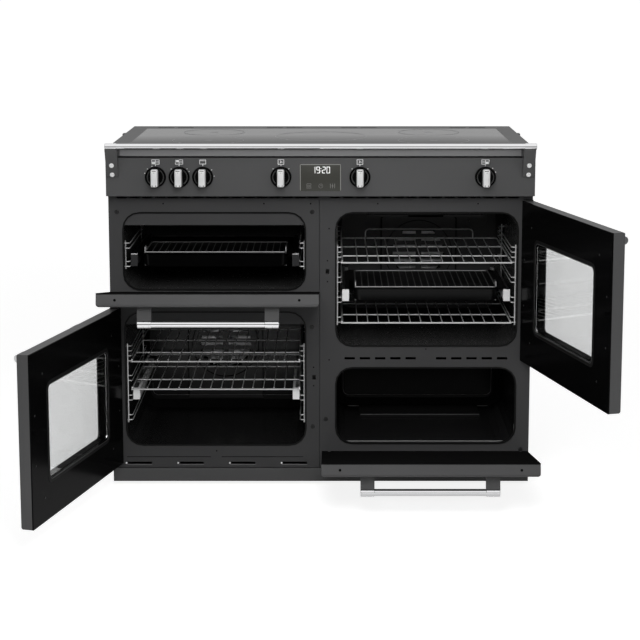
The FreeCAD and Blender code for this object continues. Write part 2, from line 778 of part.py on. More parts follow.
# --------------------------------------------------- racks, runners, shelves
def sides(oven):
    """Each side wall of a cavity as its x and the direction away from it."""
    left, right, _, _ = cavity(oven)
    return ((left, 1), (right, -1))


def ladder(oven, wall, inward):
    """Side rack: two uprights joined by pairs of rungs that stand off the wall."""
    near, far = frame_face + rack_front, frame_face + rack_back
    x, x_rung = wall + inward * rack_stand, wall + inward * rung_stand
    levels = [below_roof(oven, drop) for drop in rack_drops[oven]]
    low, high = levels[0] - rung_gap, levels[-1] + rung_gap
    wires = [rod(at(x, y, low), at(x, y, high), upright_radius, 4) for y in (near, far)]
    for level in levels:
        for edge in (-1, 1):
            path = [(x, near), (x_rung, near), (x_rung, far), (x, far)]
            wires.append(ribbon(path, rung_radius, level + edge * rung_gap / 2))
    for y in (near, far):
        for z in (low + rung_gap / 2, high - rung_gap / 2):
            wires.append(rod(at(wall, y, z), at(x, y, z), rung_radius, 4))
    return joined(wires)


def side_racks():
    """Six side racks, two in each oven with shelves."""
    save("side_racks", *[ladder(oven, wall, inward) for oven in rack_drops for wall, inward in sides(oven)])


def channel(wall, inward, stand, depth, height, z, y0, y1):
    """Runner channel, open away from the wall."""
    outer = block(wall + inward * stand, wall + inward * (stand + depth), y0, y1, z - height / 2, z + height / 2)
    inner = block(wall + inward * (stand + runner_web), wall + inward * (stand + depth + 1), y0 - 1, y1 + 1,
                  z - height / 2 + runner_web, z + height / 2 - runner_web)
    return outer.cut(inner)


def carrier_top(oven):
    """Top of the sliding members, which the pan's rim or the shelf lies on."""
    middle = below_roof(oven, runner_drops[oven])
    if oven == "fan_oven":
        return shelf_heights(middle + runner_shelf_rise)[2] - shelf_cross_radius
    return middle + pan_rise


def runners():
    """Telescopic runners: fixed, middle and sliding members, and each slide's end plate."""
    fixed = []
    step = runner_web + runner_gap
    for oven, drop in runner_drops.items():
        z = below_roof(oven, drop)
        y0 = frame_face + runner_front
        y1 = y0 + runner_length
        middle, sliding = [], []
        for wall, inward in sides(oven):
            fixed.append(channel(wall, inward, runner_stand, runner_depth, runner_height, z, y0, y1))
            middle.append(channel(wall, inward, runner_stand + step, runner_depth,
                                  runner_height - 2 * step, z, y0, y1))
            height = runner_height - 4 * step
            stand = runner_stand + 2 * step
            bar = block(wall + inward * stand, wall + inward * (stand + slide_reach), y0, y1,
                        z - height / 2, z + height / 2)
            strip = block(wall + inward * carrier[0], wall + inward * carrier[1], y0, y0 + pan_length,
                          z, carrier_top(oven))
            strip = strip.cut(block(wall, wall + inward * (runner_stand + runner_depth + step + touch),
                                    y0 - 1, y1 + 1, z, z + runner_height))
            face = block(wall + inward * end_plate[0], wall + inward * end_plate[1],
                         y0 - end_plate_sheet, y0, z - end_plate_height / 2, z + end_plate_height / 2)
            sliding.append(joined([bar, strip, face]))
        save(f"runner_middle_{oven}", *middle)
        save(f"runner_slide_{oven}", *sliding)
    save("runner_fixed_members", *fixed)


def shelf_heights(z):
    """Heights of a shelf's side rails, long wires and cross wires above its front bar's axis."""
    rails = z + rung_radius + touch + shelf_rail_radius
    wires = z + shelf_front_radius + shelf_wire_radius - weld
    crosses = wires - shelf_wire_radius - shelf_cross_radius - running
    return rails, wires, crosses


def shelf(oven, z, fence=False):
    """Wire shelf: front bar, side rails, back bar, cross wires and long wires."""
    left, right, _, _ = cavity(oven)
    x = (left + right) / 2
    near, far = frame_face + shelf_front, frame_face + shelf_back
    rails_z, wires_z, crosses_z = shelf_heights(z)
    pieces = [rod(at(x - shelf_width / 2, near, z), at(x + shelf_width / 2, near, z), shelf_front_radius, 8),
              rod(at(x - rung_side, far, rails_z), at(x + rung_side, far, rails_z), shelf_rail_radius)]
    for side in (-1, 1):
        pieces.append(rod(at(x + side * rung_side, near, rails_z), at(x + side * rung_side, far, rails_z),
                          shelf_rail_radius))
    cross_end = rung_side - touch * 2
    for place in cross_places:
        pieces.append(rod(at(x - cross_end, frame_face + place, crosses_z),
                          at(x + cross_end, frame_face + place, crosses_z), shelf_cross_radius))
    for step in range(shelf_wires):
        across = x + (step - (shelf_wires - 1) / 2) * shelf_wire_pitch
        pieces.append(rod(at(across, near, wires_z), at(across, far, wires_z), shelf_wire_radius, 4))
    if fence:
        edge, top = fence_width / 2, rails_z + fence_height
        corners = [at(x - edge, far, rails_z), at(x - edge, far, top), at(x + edge, far, top), at(x + edge, far, rails_z)]
        pieces += [rod(start, end, shelf_cross_radius, 4) for start, end in zip(corners, corners[1:])]
    return joined(pieces)


def shelves():
    """Four wire shelves."""
    on_runners = below_roof("fan_oven", runner_drops["fan_oven"]) + runner_shelf_rise
    save("shelf_fan_oven_upper", shelf("fan_oven", rung_height("fan_oven", upper_shelf_level)))
    save("shelf_fan_oven_lower", shelf("fan_oven", on_runners))
    save("shelf_tall_oven_upper", shelf("tall_oven", rung_height("tall_oven", upper_shelf_level), fence=True))
    save("shelf_tall_oven_lower", shelf("tall_oven", rung_height("tall_oven", lower_shelf_level)))


def grill_pan(oven):
    """Enamelled pan whose rim hangs on the runners, and the wire trivet inside it."""
    left, right, _, _ = cavity(oven)
    x, rim = (left + right) / 2, carrier_top(oven)
    near = frame_face + pan_front
    far = near + pan_length
    flange_plate = slab((x - pan_rim_half_width, x + pan_rim_half_width), (near, far),
                        (rim, rim + pan_rim_sheet), pan_radius, "xy")
    lip = pan_lip
    body = slab((x - pan_half_width, x + pan_half_width), (near + lip, far - lip),
                (rim + pan_rim_sheet - pan_depth, rim + pan_rim_sheet), pan_radius, "xy")
    hollow = slab((x - pan_half_width + pan_wall, x + pan_half_width - pan_wall),
                  (near + lip + pan_wall, far - lip - pan_wall),
                  (rim + pan_rim_sheet - pan_depth + pan_wall, rim + 2 * pan_rim_sheet), pan_radius - pan_wall, "xy")
    pan = joined([flange_plate, body]).cut(hollow)

    edge = pan_half_width - pan_wall - trivet_inset
    y0, y1 = near + lip + pan_wall + trivet_inset, far - lip - pan_wall - trivet_inset
    z = rim + pan_rim_sheet + trivet_rise
    wires = [rod(at(x - edge, y, z), at(x + edge, y, z), shelf_cross_radius) for y in (y0, y1)]
    wires += [rod(at(x + side * edge, y0, z), at(x + side * edge, y1, z), shelf_cross_radius) for side in (-1, 1)]
    pitch = 2 * edge / (trivet_wires + 1)
    for step in range(1, trivet_wires + 1):
        wires.append(rod(at(x - edge + pitch * step, y0, z), at(x - edge + pitch * step, y1, z),
                         shelf_wire_radius, 4))
    floor = rim + pan_rim_sheet - pan_depth + pan_wall
    for side in (-1, 1):
        for y in (y0, y1):
            wires.append(rod(at(x + side * edge, y, floor), at(x + side * edge, y, z), shelf_cross_radius, 4))
    return pan, joined(wires)


# -------------------------------------------------------------------- doors
def door_span(oven):
    """Left and right edges of a closed door."""
    if oven in left_ovens:
        return -half + door_side_gap, -door_meeting_gap / 2
    return door_meeting_gap / 2, half - door_side_gap


def catch_x(oven):
    """Middle of a side door's catch, at the door's free edge."""
    left, right = door_span(oven)
    return right - catch_edge if oven in left_ovens else left + catch_edge


def tray(x0, x1, z0, z1):
    """Door's outer tray: rounded front edges and a hollow back."""
    shell = block(x0, x1, door_front, door_back - inner_panel, z0, z1)
    soft = [edge for edge in shell.Edges if max(v.Y for v in edge.Vertexes) < door_front + 1e-6]
    shell = shell.makeFillet(door_edge_radius, soft)
    return shell.cut(block(x0 + door_skin, x1 - door_skin, door_front + door_skin, door_back,
                           z0 + door_skin, z1 - door_skin))


def handle(x, z):
    """Handle bar with end caps, and its two brackets."""
    y = door_front - handle_stand
    end, cap = handle_length / 2, handle_length / 2 - handle_cap_length
    bar = turned([(x - end, handle_cap_radius), (x - cap, handle_cap_radius), (x - cap, handle_radius),
                  (x + cap, handle_radius), (x + cap, handle_cap_radius), (x + end, handle_cap_radius)], y, z)
    seat = drum(handle_cap_radius + running, at(x - handle_length, y, z), at(x + handle_length, y, z))
    brackets = [block(x + side * cap, x + side * end, y, door_front, z - handle_bracket_height / 2,
                      z + handle_bracket_height / 2).cut(seat) for side in (-1, 1)]
    return bar, brackets


def side_door_hinge(oven):
    """The x and y of a side door's pins and the turn that opens it."""
    left, right = door_span(oven)
    if oven in left_ovens:
        return left + hinge_inset, frame_face - hinge_back, -side_open
    return right - hinge_inset, frame_face - hinge_back, side_open


def side_door(oven):
    """Window door that swings on two upright pins."""
    low, high = side_doors[oven]
    left, right = door_span(oven)
    middle_x, middle_z = (left + right) / 2, (low + high) / 2
    pin_x, pin_y, turn = side_door_hinge(oven)

    def window(grow, y0, y1, softer=0):
        across, up = window_width / 2 + grow, window_height / 2 + grow
        return slab((middle_x - across, middle_x + across), (middle_z - up, middle_z + up), (y0, y1),
                    window_radius + grow + softer)

    shell = tray(left, right, low, high)
    tube = window(window_lip + window_frame, door_front + door_skin / 2, door_back - inner_panel)
    bosses = []
    for z, up in ((low, 1), (high, -1)):
        bosses.append(pin(hinge_boss_radius, at(pin_x, pin_y, z + up * door_skin / 2),
                          at(pin_x, pin_y, z + up * (hinge_pin_length + 2 * hinge_boss_end))))
    shell = joined([shell, tube] + bosses)
    cutters = [window(0, door_front - 1, door_back), window(window_lip, door_front + door_skin, door_back)]
    for z, up in ((low, 1), (high, -1)):
        cutters.append(bore(hinge_pin_radius + running, at(pin_x, pin_y, z - up),
                            at(pin_x, pin_y, z + up * (hinge_pin_length + hinge_boss_end))))
    for cutter in cutters:
        shell = shell.cut(cutter)
    panel = block(left, right, door_back - inner_panel, door_back, low, high).cut(
        window(0, door_back - 2 * inner_panel, door_back + 1))
    width, height, length = catch_peg
    peg_x, peg_z = catch_x(oven), catch_height[oven]
    peg = block(peg_x - width / 2, peg_x + width / 2, door_back - inner_panel / 2, door_back + length,
                peg_z - height / 2, peg_z + height / 2)
    panel = joined([panel, peg])
    seat = door_back - inner_panel - touch / 2
    panes = [window(window_lip - touch, start, start + pane_thickness, softer=window_lip)
             for start in (door_front + door_skin, seat - pane_thickness)]
    bar, brackets = handle(middle_x, high - handle_drop)
    hinge = (at(pin_x, pin_y, 0), at(0, 0, 1), turn)
    save_door(oven, hinge, outer=[shell] + brackets, inner=[panel], panes=panes, handle=[bar])


def drop_door_pivot(oven):
    """The y and z of a drop-down door's pins."""
    low, _ = drop_doors[oven]
    return door_front + pivot_front, low + pivot_rise


def arm_places(oven):
    """Left edges of a drop-down door's two hinge arms."""
    left, right = door_span(oven)
    return (left + arm_inset - arm_sheet / 2, right - arm_inset - arm_sheet / 2)


def drop_door(oven):
    """Plain door that swings down on two hinge arms."""
    low, high = drop_doors[oven]
    left, right = door_span(oven)
    pin_y, pin_z = drop_door_pivot(oven)
    shell = tray(left, right, low, high)
    panel = block(left, right, door_back - inner_panel, door_back, low, high)
    bosses, notches = [], []
    for x in arm_places(oven):
        x0, x1 = x - notch_room, x + arm_sheet + notch_room
        for edge, way in ((x0, -1), (x1, 1)):
            bosses.append(block(edge, edge + way * (pivot_pin_length + 2), door_front + door_skin / 2,
                                pin_y + pivot_boss, low + door_skin / 2, pin_z + pivot_boss))
        notches.append(block(x0, x1, pin_y - arm_half_height * 1.15, door_back + 1,
                             low - 1, pin_z + arm_half_height * 2))
        notches.append(bore(pivot_pin_radius + running, at(x0 - pivot_pin_length, pin_y, pin_z),
                            at(x1 + pivot_pin_length, pin_y, pin_z)))
    shell = joined([shell] + bosses).cut(Part.makeCompound(notches[0::2])).cut(Part.makeCompound(notches[1::2]))
    panel = panel.cut(Part.makeCompound(notches[0::2]))
    bar, brackets = handle((left + right) / 2, high - handle_drop)
    hinge = (at(0, pin_y, pin_z), at(1, 0, 0), drop_open)
    save_door(oven, hinge, outer=[shell] + brackets, inner=[panel], handle=[bar])


def save_door(oven, hinge, **nodes):
    """Swing a door's pieces open and write them."""
    centre, axis, turn = hinge
    for node, solids in nodes.items():
        for solid in solids:
            solid.rotate(centre, axis, turn)
        save(f"door_{oven}_{node}", *solids)


def door_fittings():
    """Fixed hinge plates with pins, hinge arms with pins, and the catches' housings."""
    pieces = []
    for oven, (low, high) in side_doors.items():
        pin_x, pin_y, turn = side_door_hinge(oven)
        outward = -1 if oven in left_ovens else 1
        edge = outward * (half - sheet)
        for z, up in ((low - hinge_plate_gap, 1), (high + hinge_plate_gap, -1)):
            foot_end = z - up * hinge_plate
            plate = block(edge, pin_x - outward * hinge_plate_reach, frame_face, pin_y - hinge_boss_radius,
                          z, foot_end)
            shaft = pin(hinge_pin_radius, at(pin_x, pin_y, foot_end), at(pin_x, pin_y, z + up * hinge_pin_length))
            pieces.append(joined([plate, shaft]))
    for oven in drop_doors:
        pin_y, pin_z = drop_door_pivot(oven)
        for x in arm_places(oven):
            arm = block(x, x + arm_sheet, pin_y, frame_face, pin_z - arm_half_height, pin_z + arm_half_height)
            nose = rod(at(x, pin_y, pin_z), at(x + arm_sheet, pin_y, pin_z), arm_half_height, 8)
            foot_plate = block(x, x + arm_sheet, frame_face - touch * 4, frame_face, pin_z - arm_foot_height / 2,
                               pin_z + arm_foot_height / 2)
            reach = notch_room + pivot_pin_length - touch
            shaft = pin(pivot_pin_radius, at(x - reach, pin_y, pin_z), at(x + arm_sheet + reach, pin_y, pin_z))
            pieces.append(joined([arm, nose, foot_plate, shaft]))
    for oven in side_doors:
        width, height = catch_hole
        x, z = catch_x(oven), catch_height[oven]
        wall, deep = catch_wall, frame_back + catch_depth
        housing = block(x - width / 2 - wall, x + width / 2 + wall, frame_back, deep + wall,
                        z - height / 2 - wall, z + height / 2 + wall)
        pieces.append(housing.cut(block(x - width / 2, x + width / 2, frame_back, deep,
                                        z - height / 2, z + height / 2)))
    save("door_fittings", *pieces)


# -------------------------------------------------------- back of the cooker
def terminal_box():
    """Terminal box inside the back panel, with its cable gland."""
    x, z = gland_place
    width, depth, height = terminal_size
    wall = back - sheet
    box = block(x - width / 2, x + width / 2, wall - depth, wall, z - height / 2, z + height / 2)
    shell = terminal_wall
    hollow = block(x - width / 2 + shell, x + width / 2 - shell, wall - depth + shell, wall - shell,
                   z - height / 2 + shell, z + height / 2 - shell)
    gland = drum(gland_radius - touch, at(x, wall - shell, z), at(x, back + gland_proud, z))
    opening = drum(gland_bore, at(x, wall - depth / 2, z), at(x, back + 2 * gland_proud, z))
    save("terminal_box", joined([box.cut(hollow), gland]).cut(opening))


def main():
    """Build every node."""
    os.makedirs(OUT, exist_ok=True)
    cabinet()
    front_frames()
    door_seals()
    fascia()
    knobs()
    towel_rail()
    hob()
    for oven in ovens:
        liner(oven)
    fan_parts()
    side_racks()
    runners()
    shelves()
    for oven in ("grill_oven", "tall_oven"):
        save(f"grill_pan_{oven}", *grill_pan(oven))
    for oven in side_doors:
        side_door(oven)
    for oven in drop_doors:
        drop_door(oven)
    door_fittings()
    terminal_box()


main()
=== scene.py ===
"""Range cooker with an induction hob and four ovens: its finishes, small parts and stage.

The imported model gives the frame, in metres: X to the right, Y to the back and Z up.
Doors are modelled closed and then turned about their hinges into the open rest pose.
"""

import json
import logging
import math
from dataclasses import dataclass, field
from enum import Enum
from typing import Callable, Iterable, Sequence

import bpy
from mathutils import Matrix, Vector


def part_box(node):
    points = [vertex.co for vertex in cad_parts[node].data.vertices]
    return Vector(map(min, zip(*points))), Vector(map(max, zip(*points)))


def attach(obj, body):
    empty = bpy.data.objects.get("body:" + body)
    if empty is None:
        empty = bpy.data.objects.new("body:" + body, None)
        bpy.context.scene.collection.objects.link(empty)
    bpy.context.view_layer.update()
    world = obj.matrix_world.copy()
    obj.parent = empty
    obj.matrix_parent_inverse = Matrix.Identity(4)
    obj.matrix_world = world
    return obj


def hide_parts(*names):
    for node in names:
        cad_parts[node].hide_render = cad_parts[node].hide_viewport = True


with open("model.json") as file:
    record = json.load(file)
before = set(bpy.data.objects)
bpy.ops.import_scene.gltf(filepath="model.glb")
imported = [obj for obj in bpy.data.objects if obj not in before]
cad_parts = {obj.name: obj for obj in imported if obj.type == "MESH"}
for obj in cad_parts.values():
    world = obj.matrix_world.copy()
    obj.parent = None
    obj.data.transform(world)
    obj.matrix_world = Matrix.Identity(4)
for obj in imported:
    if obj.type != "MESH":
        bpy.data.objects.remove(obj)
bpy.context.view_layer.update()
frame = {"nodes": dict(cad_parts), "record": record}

LOG = logging.getLogger("cooker")
MM = 0.001

Triple = tuple[float, float, float]
Colour = tuple[float, float, float]
Steps = Sequence[tuple[float, float]]
Piece = bpy.types.Object


# ------------------------------------------------------------------ finishes
class Grain(Enum):
    """Fine relief of a surface, as the stretch of its noise along X, Y and Z."""

    POWDER = (1.0, 1.0, 1.0)
    ENAMEL = (1.0, 1.0, 1.0001)
    DRAWN_X = (0.02, 1.0, 1.0)
    DRAWN_Y = (1.0, 0.02, 1.0)
    DRAWN_Z = (1.0, 1.0, 0.02)


def new_group(name: str, inputs: dict[str, object], outputs: dict[str, str]) -> bpy.types.NodeTree:
    """Start a node group with its sockets.

    Args:
        name: The group's name.
        inputs: The kind and default value of each input, by its name.
        outputs: The kind of each output, by its name.

    Returns:
        The group.
    """
    group = bpy.data.node_groups.new(name, "ShaderNodeTree")
    for label, (kind, value) in inputs.items():
        socket = group.interface.new_socket(label, in_out="INPUT", socket_type=f"NodeSocket{kind}")
        socket.default_value = value
    for label, kind in outputs.items():
        group.interface.new_socket(label, in_out="OUTPUT", socket_type=f"NodeSocket{kind}")
    return group


def cloud_group() -> bpy.types.NodeTree:
    """Build the node group that varies a colour and a roughness in soft clouds.

    Returns:
        The group, with Colour and Roughness outputs.
    """
    found = bpy.data.node_groups.get("soft clouds")
    if found:
        return found
    group = new_group("soft clouds", {
        "Colour": ("Color", (0.5, 0.5, 0.5, 1.0)), "Colour Spread": ("Float", 0.1),
        "Roughness": ("Float", 0.5), "Roughness Spread": ("Float", 0.1), "Scale": ("Float", 6.0),
    }, {"Colour": "Color", "Roughness": "Float"})
    nodes, links = group.nodes, group.links
    given, out = nodes.new("NodeGroupInput"), nodes.new("NodeGroupOutput")
    place = nodes.new("ShaderNodeTexCoord")
    broad, fine = nodes.new("ShaderNodeTexNoise"), nodes.new("ShaderNodeTexNoise")
    for noise, detail in ((broad, 4.0), (fine, 8.0)):
        noise.inputs["Detail"].default_value = detail
        links.new(place.outputs["Object"], noise.inputs["Vector"])
    links.new(given.outputs["Scale"], broad.inputs["Scale"])
    finer = nodes.new("ShaderNodeMath")
    finer.operation = "MULTIPLY"
    finer.inputs[1].default_value = 7.0
    links.new(given.outputs["Scale"], finer.inputs[0])
    links.new(finer.outputs[0], fine.inputs["Scale"])
    for noise, name in ((broad, "Colour"), (fine, "Roughness")):
        centred, scaled = nodes.new("ShaderNodeMath"), nodes.new("ShaderNodeMath")
        centred.operation, scaled.operation = "SUBTRACT", "MULTIPLY_ADD"
        centred.inputs[1].default_value = 0.5
        links.new(noise.outputs["Fac"], centred.inputs[0])
        links.new(centred.outputs[0], scaled.inputs[0])
        links.new(given.outputs[f"{name} Spread"], scaled.inputs[1])
        if name == "Roughness":
            links.new(given.outputs[name], scaled.inputs[2])
            links.new(scaled.outputs[0], out.inputs[name])
        else:
            scaled.inputs[2].default_value = 1.0
            tint = nodes.new("ShaderNodeVectorMath")
            tint.operation = "SCALE"
            links.new(given.outputs[name], tint.inputs[0])
            links.new(scaled.outputs[0], tint.inputs["Scale"])
            links.new(tint.outputs["Vector"], out.inputs[name])
    return group


def relief_group() -> bpy.types.NodeTree:
    """Build the node group that puts out a fine relief height.

    Returns:
        The group, with a Height output from 0 to 1.
    """
    found = bpy.data.node_groups.get("fine relief")
    if found:
        return found
    group = new_group("fine relief", {
        "Scale": ("Float", 900.0), "Stretch": ("Vector", (1.0, 1.0, 1.0)),
    }, {"Height": "Float"})
    nodes, links = group.nodes, group.links
    given, out = nodes.new("NodeGroupInput"), nodes.new("NodeGroupOutput")
    place, mapping = nodes.new("ShaderNodeTexCoord"), nodes.new("ShaderNodeMapping")
    noise = nodes.new("ShaderNodeTexNoise")
    noise.inputs["Detail"].default_value = 3.0
    links.new(place.outputs["Object"], mapping.inputs["Vector"])
    links.new(given.outputs["Stretch"], mapping.inputs["Scale"])
    links.new(mapping.outputs["Vector"], noise.inputs["Vector"])
    links.new(given.outputs["Scale"], noise.inputs["Scale"])
    links.new(noise.outputs["Fac"], out.inputs["Height"])
    return group


@dataclass(frozen=True)
class Finish:
    """How a surface looks.

    Attributes:
        name: Plain name of the finish.
        colour: Linear base colour.
        roughness: Mean roughness.
        metallic: 1 for bare metal.
        clear: Weight of transmission, for glass.
        specular: Specular level, where 0.5 is plain gloss.
        spread: Share by which the colour varies.
        rough_spread: How far the roughness varies.
        cloud: Scale of the variation, per metre.
        grain: Kind of fine relief.
        grain_scale: Scale of the relief, per metre.
        grain_depth: Strength of the relief.
        glow: Strength of emitted light.
    """

    name: str
    colour: Colour
    roughness: float
    metallic: float = 0.0
    clear: float = 0.0
    specular: float = 0.5
    spread: float = 0.15
    rough_spread: float = 0.08
    cloud: float = 5.0
    grain: Grain = Grain.POWDER
    grain_scale: float = 1400.0
    grain_depth: float = 0.05
    glow: float = 0.0

    def material(self) -> bpy.types.Material:
        """Return the finish's material, built at its first use."""
        return bpy.data.materials.get(self.name) or self._build()

    def _build(self) -> bpy.types.Material:
        """Build the material's nodes.

        Returns:
            The new material.
        """
        material = bpy.data.materials.new(self.name)
        material.use_nodes = True
        nodes, links = material.node_tree.nodes, material.node_tree.links
        shader = nodes["Principled BSDF"]
        shader.inputs["Metallic"].default_value = self.metallic
        shader.inputs["Transmission Weight"].default_value = self.clear
        shader.inputs["Specular IOR Level"].default_value = self.specular
        if self.glow:
            shader.inputs["Emission Color"].default_value = (*self.colour, 1.0)
            shader.inputs["Emission Strength"].default_value = self.glow
        clouds, relief = nodes.new("ShaderNodeGroup"), nodes.new("ShaderNodeGroup")
        clouds.node_tree, relief.node_tree = cloud_group(), relief_group()
        clouds.inputs["Colour"].default_value = (*self.colour, 1.0)
        clouds.inputs["Colour Spread"].default_value = 2 * self.spread
        clouds.inputs["Roughness"].default_value = self.roughness
        clouds.inputs["Roughness Spread"].default_value = self.rough_spread
        clouds.inputs["Scale"].default_value = self.cloud
        relief.inputs["Scale"].default_value = self.grain_scale
        relief.inputs["Stretch"].default_value = self.grain.value
        bump = nodes.new("ShaderNodeBump")
        bump.inputs["Strength"].default_value = self.grain_depth
        bump.inputs["Distance"].default_value = MM
        links.new(clouds.outputs["Colour"], shader.inputs["Base Color"])
        links.new(clouds.outputs["Roughness"], shader.inputs["Roughness"])
        links.new(relief.outputs["Height"], bump.inputs["Height"])
        links.new(bump.outputs["Normal"], shader.inputs["Normal"])
        return material


PAINT = Finish("satin anthracite paint", (0.062, 0.062, 0.063), 0.46, grain_depth=0.10, spread=0.10)
FRAME_PAINT = Finish("anthracite front frame", (0.056, 0.056, 0.057), 0.50, specular=0.12, grain_depth=0.10,
                     spread=0.10)
TRIM_PAINT = Finish("anthracite hob trim", (0.052, 0.052, 0.053), 0.42, grain_depth=0.06, spread=0.08)
CABINET = Finish("satin black cabinet", (0.032, 0.032, 0.033), 0.46, grain_depth=0.10)
ENAMEL = Finish("black oven enamel", (0.0100, 0.0100, 0.0103), 0.24, specular=0.22, grain=Grain.ENAMEL,
                grain_scale=260.0, grain_depth=0.04, spread=0.25, cloud=9.0)
# Painted highlight: thin light grey wires laid along the liners' pressed edges, standing in for the light
# their rounded enamel edges catch.
PAINTED_HIGHLIGHT_BEAD = Finish("enamel bead painted highlight", (0.130, 0.130, 0.130), 0.22, grain=Grain.ENAMEL, grain_scale=260.0,
              grain_depth=0.02, spread=0.3, cloud=6.0)
COVER_ENAMEL = Finish("fan cover enamel", (0.024, 0.024, 0.024), 0.34, specular=0.3, grain=Grain.ENAMEL,
                      grain_scale=300.0, grain_depth=0.04, spread=0.2)
DOOR_ENAMEL = Finish("black door lining", (0.0026, 0.0026, 0.0027), 0.16, specular=0.03, grain=Grain.ENAMEL,
                     grain_scale=220.0, grain_depth=0.02, spread=0.2, rough_spread=0.04)
CHROME = Finish("polished chrome", (0.80, 0.80, 0.81), 0.05, metallic=1.0, spread=0.03, rough_spread=0.04,
                grain=Grain.DRAWN_X, grain_depth=0.001, cloud=14.0)
WIRE_CHROME = Finish("chromed wire", (0.66, 0.66, 0.66), 0.30, metallic=0.60, spread=0.06,
                     rough_spread=0.10, grain_depth=0.02, cloud=20.0)
# Partly painted light: chrome grips given a mostly diffuse near-white colour, standing in for the bright
# reflection on their faces.
KNOB_CHROME_PAINTED_WHITE = Finish("chrome grip painted white", (0.95, 0.95, 0.95), 0.24, metallic=0.40, spread=0.03,
                     grain=Grain.DRAWN_Z, grain_depth=0.03, cloud=20.0)
ZINC = Finish("bright zinc steel", (0.60, 0.60, 0.61), 0.30, metallic=1.0, spread=0.10, rough_spread=0.15,
              grain=Grain.DRAWN_Y, grain_depth=0.05, cloud=18.0)
# Painted light: lit and shaded copies of the plated zinc. The lit copy is mostly diffuse near-white, standing
# in for the sheen of runners and screws in the light; the shaded copy is near-black for the grill oven's
# runners, which sit in shade.
PAINTED_LIT_PLATE = Finish("plated steel painted lit", (0.90, 0.90, 0.90), 0.38, metallic=0.45, spread=0.04,
                     rough_spread=0.08, grain_depth=0.04, cloud=18.0)
PAINTED_SHADED_PLATE = Finish("plated steel painted shaded", (0.030, 0.030, 0.031), 0.45, metallic=0.2, spread=0.10, cloud=18.0)
ELEMENT = Finish("heating element sheath", (0.008, 0.008, 0.008), 0.55, specular=0.2, spread=0.3,
                 rough_spread=0.2, cloud=25.0)
ALUMINIUM = Finish("rolled aluminium", (0.80, 0.80, 0.81), 0.36, metallic=0.5, spread=0.08)
RUBBER = Finish("silicone seal", (0.0035, 0.0035, 0.0035), 0.60, specular=0.2, spread=0.2, grain_depth=0.12)
CERAMIC = Finish("black ceramic glass", (0.012, 0.012, 0.013), 0.05, specular=0.25, spread=0.1,
                 rough_spread=0.02, grain=Grain.ENAMEL, grain_scale=60.0, grain_depth=0.002)
ZONE_PRINT = Finish("grey zone print", (0.26, 0.26, 0.265), 0.35, spread=0.1)
WINDOW = Finish("tinted window glass", (0.97, 0.975, 0.975), 0.02, clear=1.0, spread=0.02,
                rough_spread=0.01, grain=Grain.ENAMEL, grain_scale=40.0, grain_depth=0.001)
SMOKED = Finish("smoked display plastic", (0.046, 0.046, 0.040), 0.30, specular=0.3, spread=0.05,
                rough_spread=0.03, grain_depth=0.01)
SKIRT = Finish("gloss black knob skirt", (0.0020, 0.0020, 0.0020), 0.22, specular=0.12, spread=0.2,
               rough_spread=0.05, grain_depth=0.02)
# Partly painted light: the knob's satin disc, coloured grey to stand for the light its dished face catches.
DISC_PAINTED_SHEEN = Finish("knob disc painted sheen", (0.070, 0.070, 0.070), 0.34, metallic=0.2, spread=0.1, rough_spread=0.05,
              grain_depth=0.03)
PLASTIC = Finish("black moulded plastic", (0.014, 0.014, 0.014), 0.55, specular=0.3, spread=0.15,
                 grain_depth=0.15)
PAN_ENAMEL = Finish("black pan enamel", (0.0022, 0.0022, 0.0023), 0.30, specular=0.12, grain=Grain.ENAMEL,
                    grain_scale=300.0, grain_depth=0.03, spread=0.25)
# Painted light: a light grey strip standing in for the up-facing lip under the hob's front that catches the
# top light; the plinth slots' lips share it.
PAINTED_LIT_STRIP = Finish("steel strip painted lit", (0.210, 0.210, 0.213), 0.45, specular=0.3, grain=Grain.DRAWN_X,
               grain_depth=0.03, spread=0.05, cloud=8.0)
# Painted highlight: near-white for the grill runners' tabs, as the lit top edge of runners that are otherwise
# in shade.
PAINTED_HIGHLIGHT_TAB = Finish("tab painted as a highlight", (0.85, 0.85, 0.85), 0.40, metallic=0.3, spread=0.05)
# Painted highlight: a grey line round each side door's window, standing in for the light its edge catches.
PAINTED_HIGHLIGHT_EDGE = Finish("lining edge painted highlight", (0.085, 0.085, 0.085), 0.35, metallic=0.3, spread=0.08)
BUMPER = Finish("black bumper rubber", (0.010, 0.010, 0.010), 0.50, specular=0.4, spread=0.1,
                grain_depth=0.1)
TRIVET_WIRE = Finish("dull chromed wire", (0.36, 0.36, 0.36), 0.30, metallic=0.75, spread=0.20,
                     rough_spread=0.10, grain_depth=0.02, cloud=30.0)
DROP_LINING = Finish("black drop door lining", (0.0060, 0.0060, 0.0061), 0.40, specular=0.0,
                     grain=Grain.ENAMEL, grain_scale=220.0, grain_depth=0.02, spread=0.2)
# Painted light: a lighter copy of the black oven enamel for the tall and grill ovens' liners, whose walls
# catch more light.
PAINTED_LIGHT_ENAMEL = Finish("oven enamel painted lighter", (0.032, 0.032, 0.032), 0.26, specular=0.22, grain=Grain.ENAMEL,
                    grain_scale=260.0, grain_depth=0.04, spread=0.25, cloud=9.0)
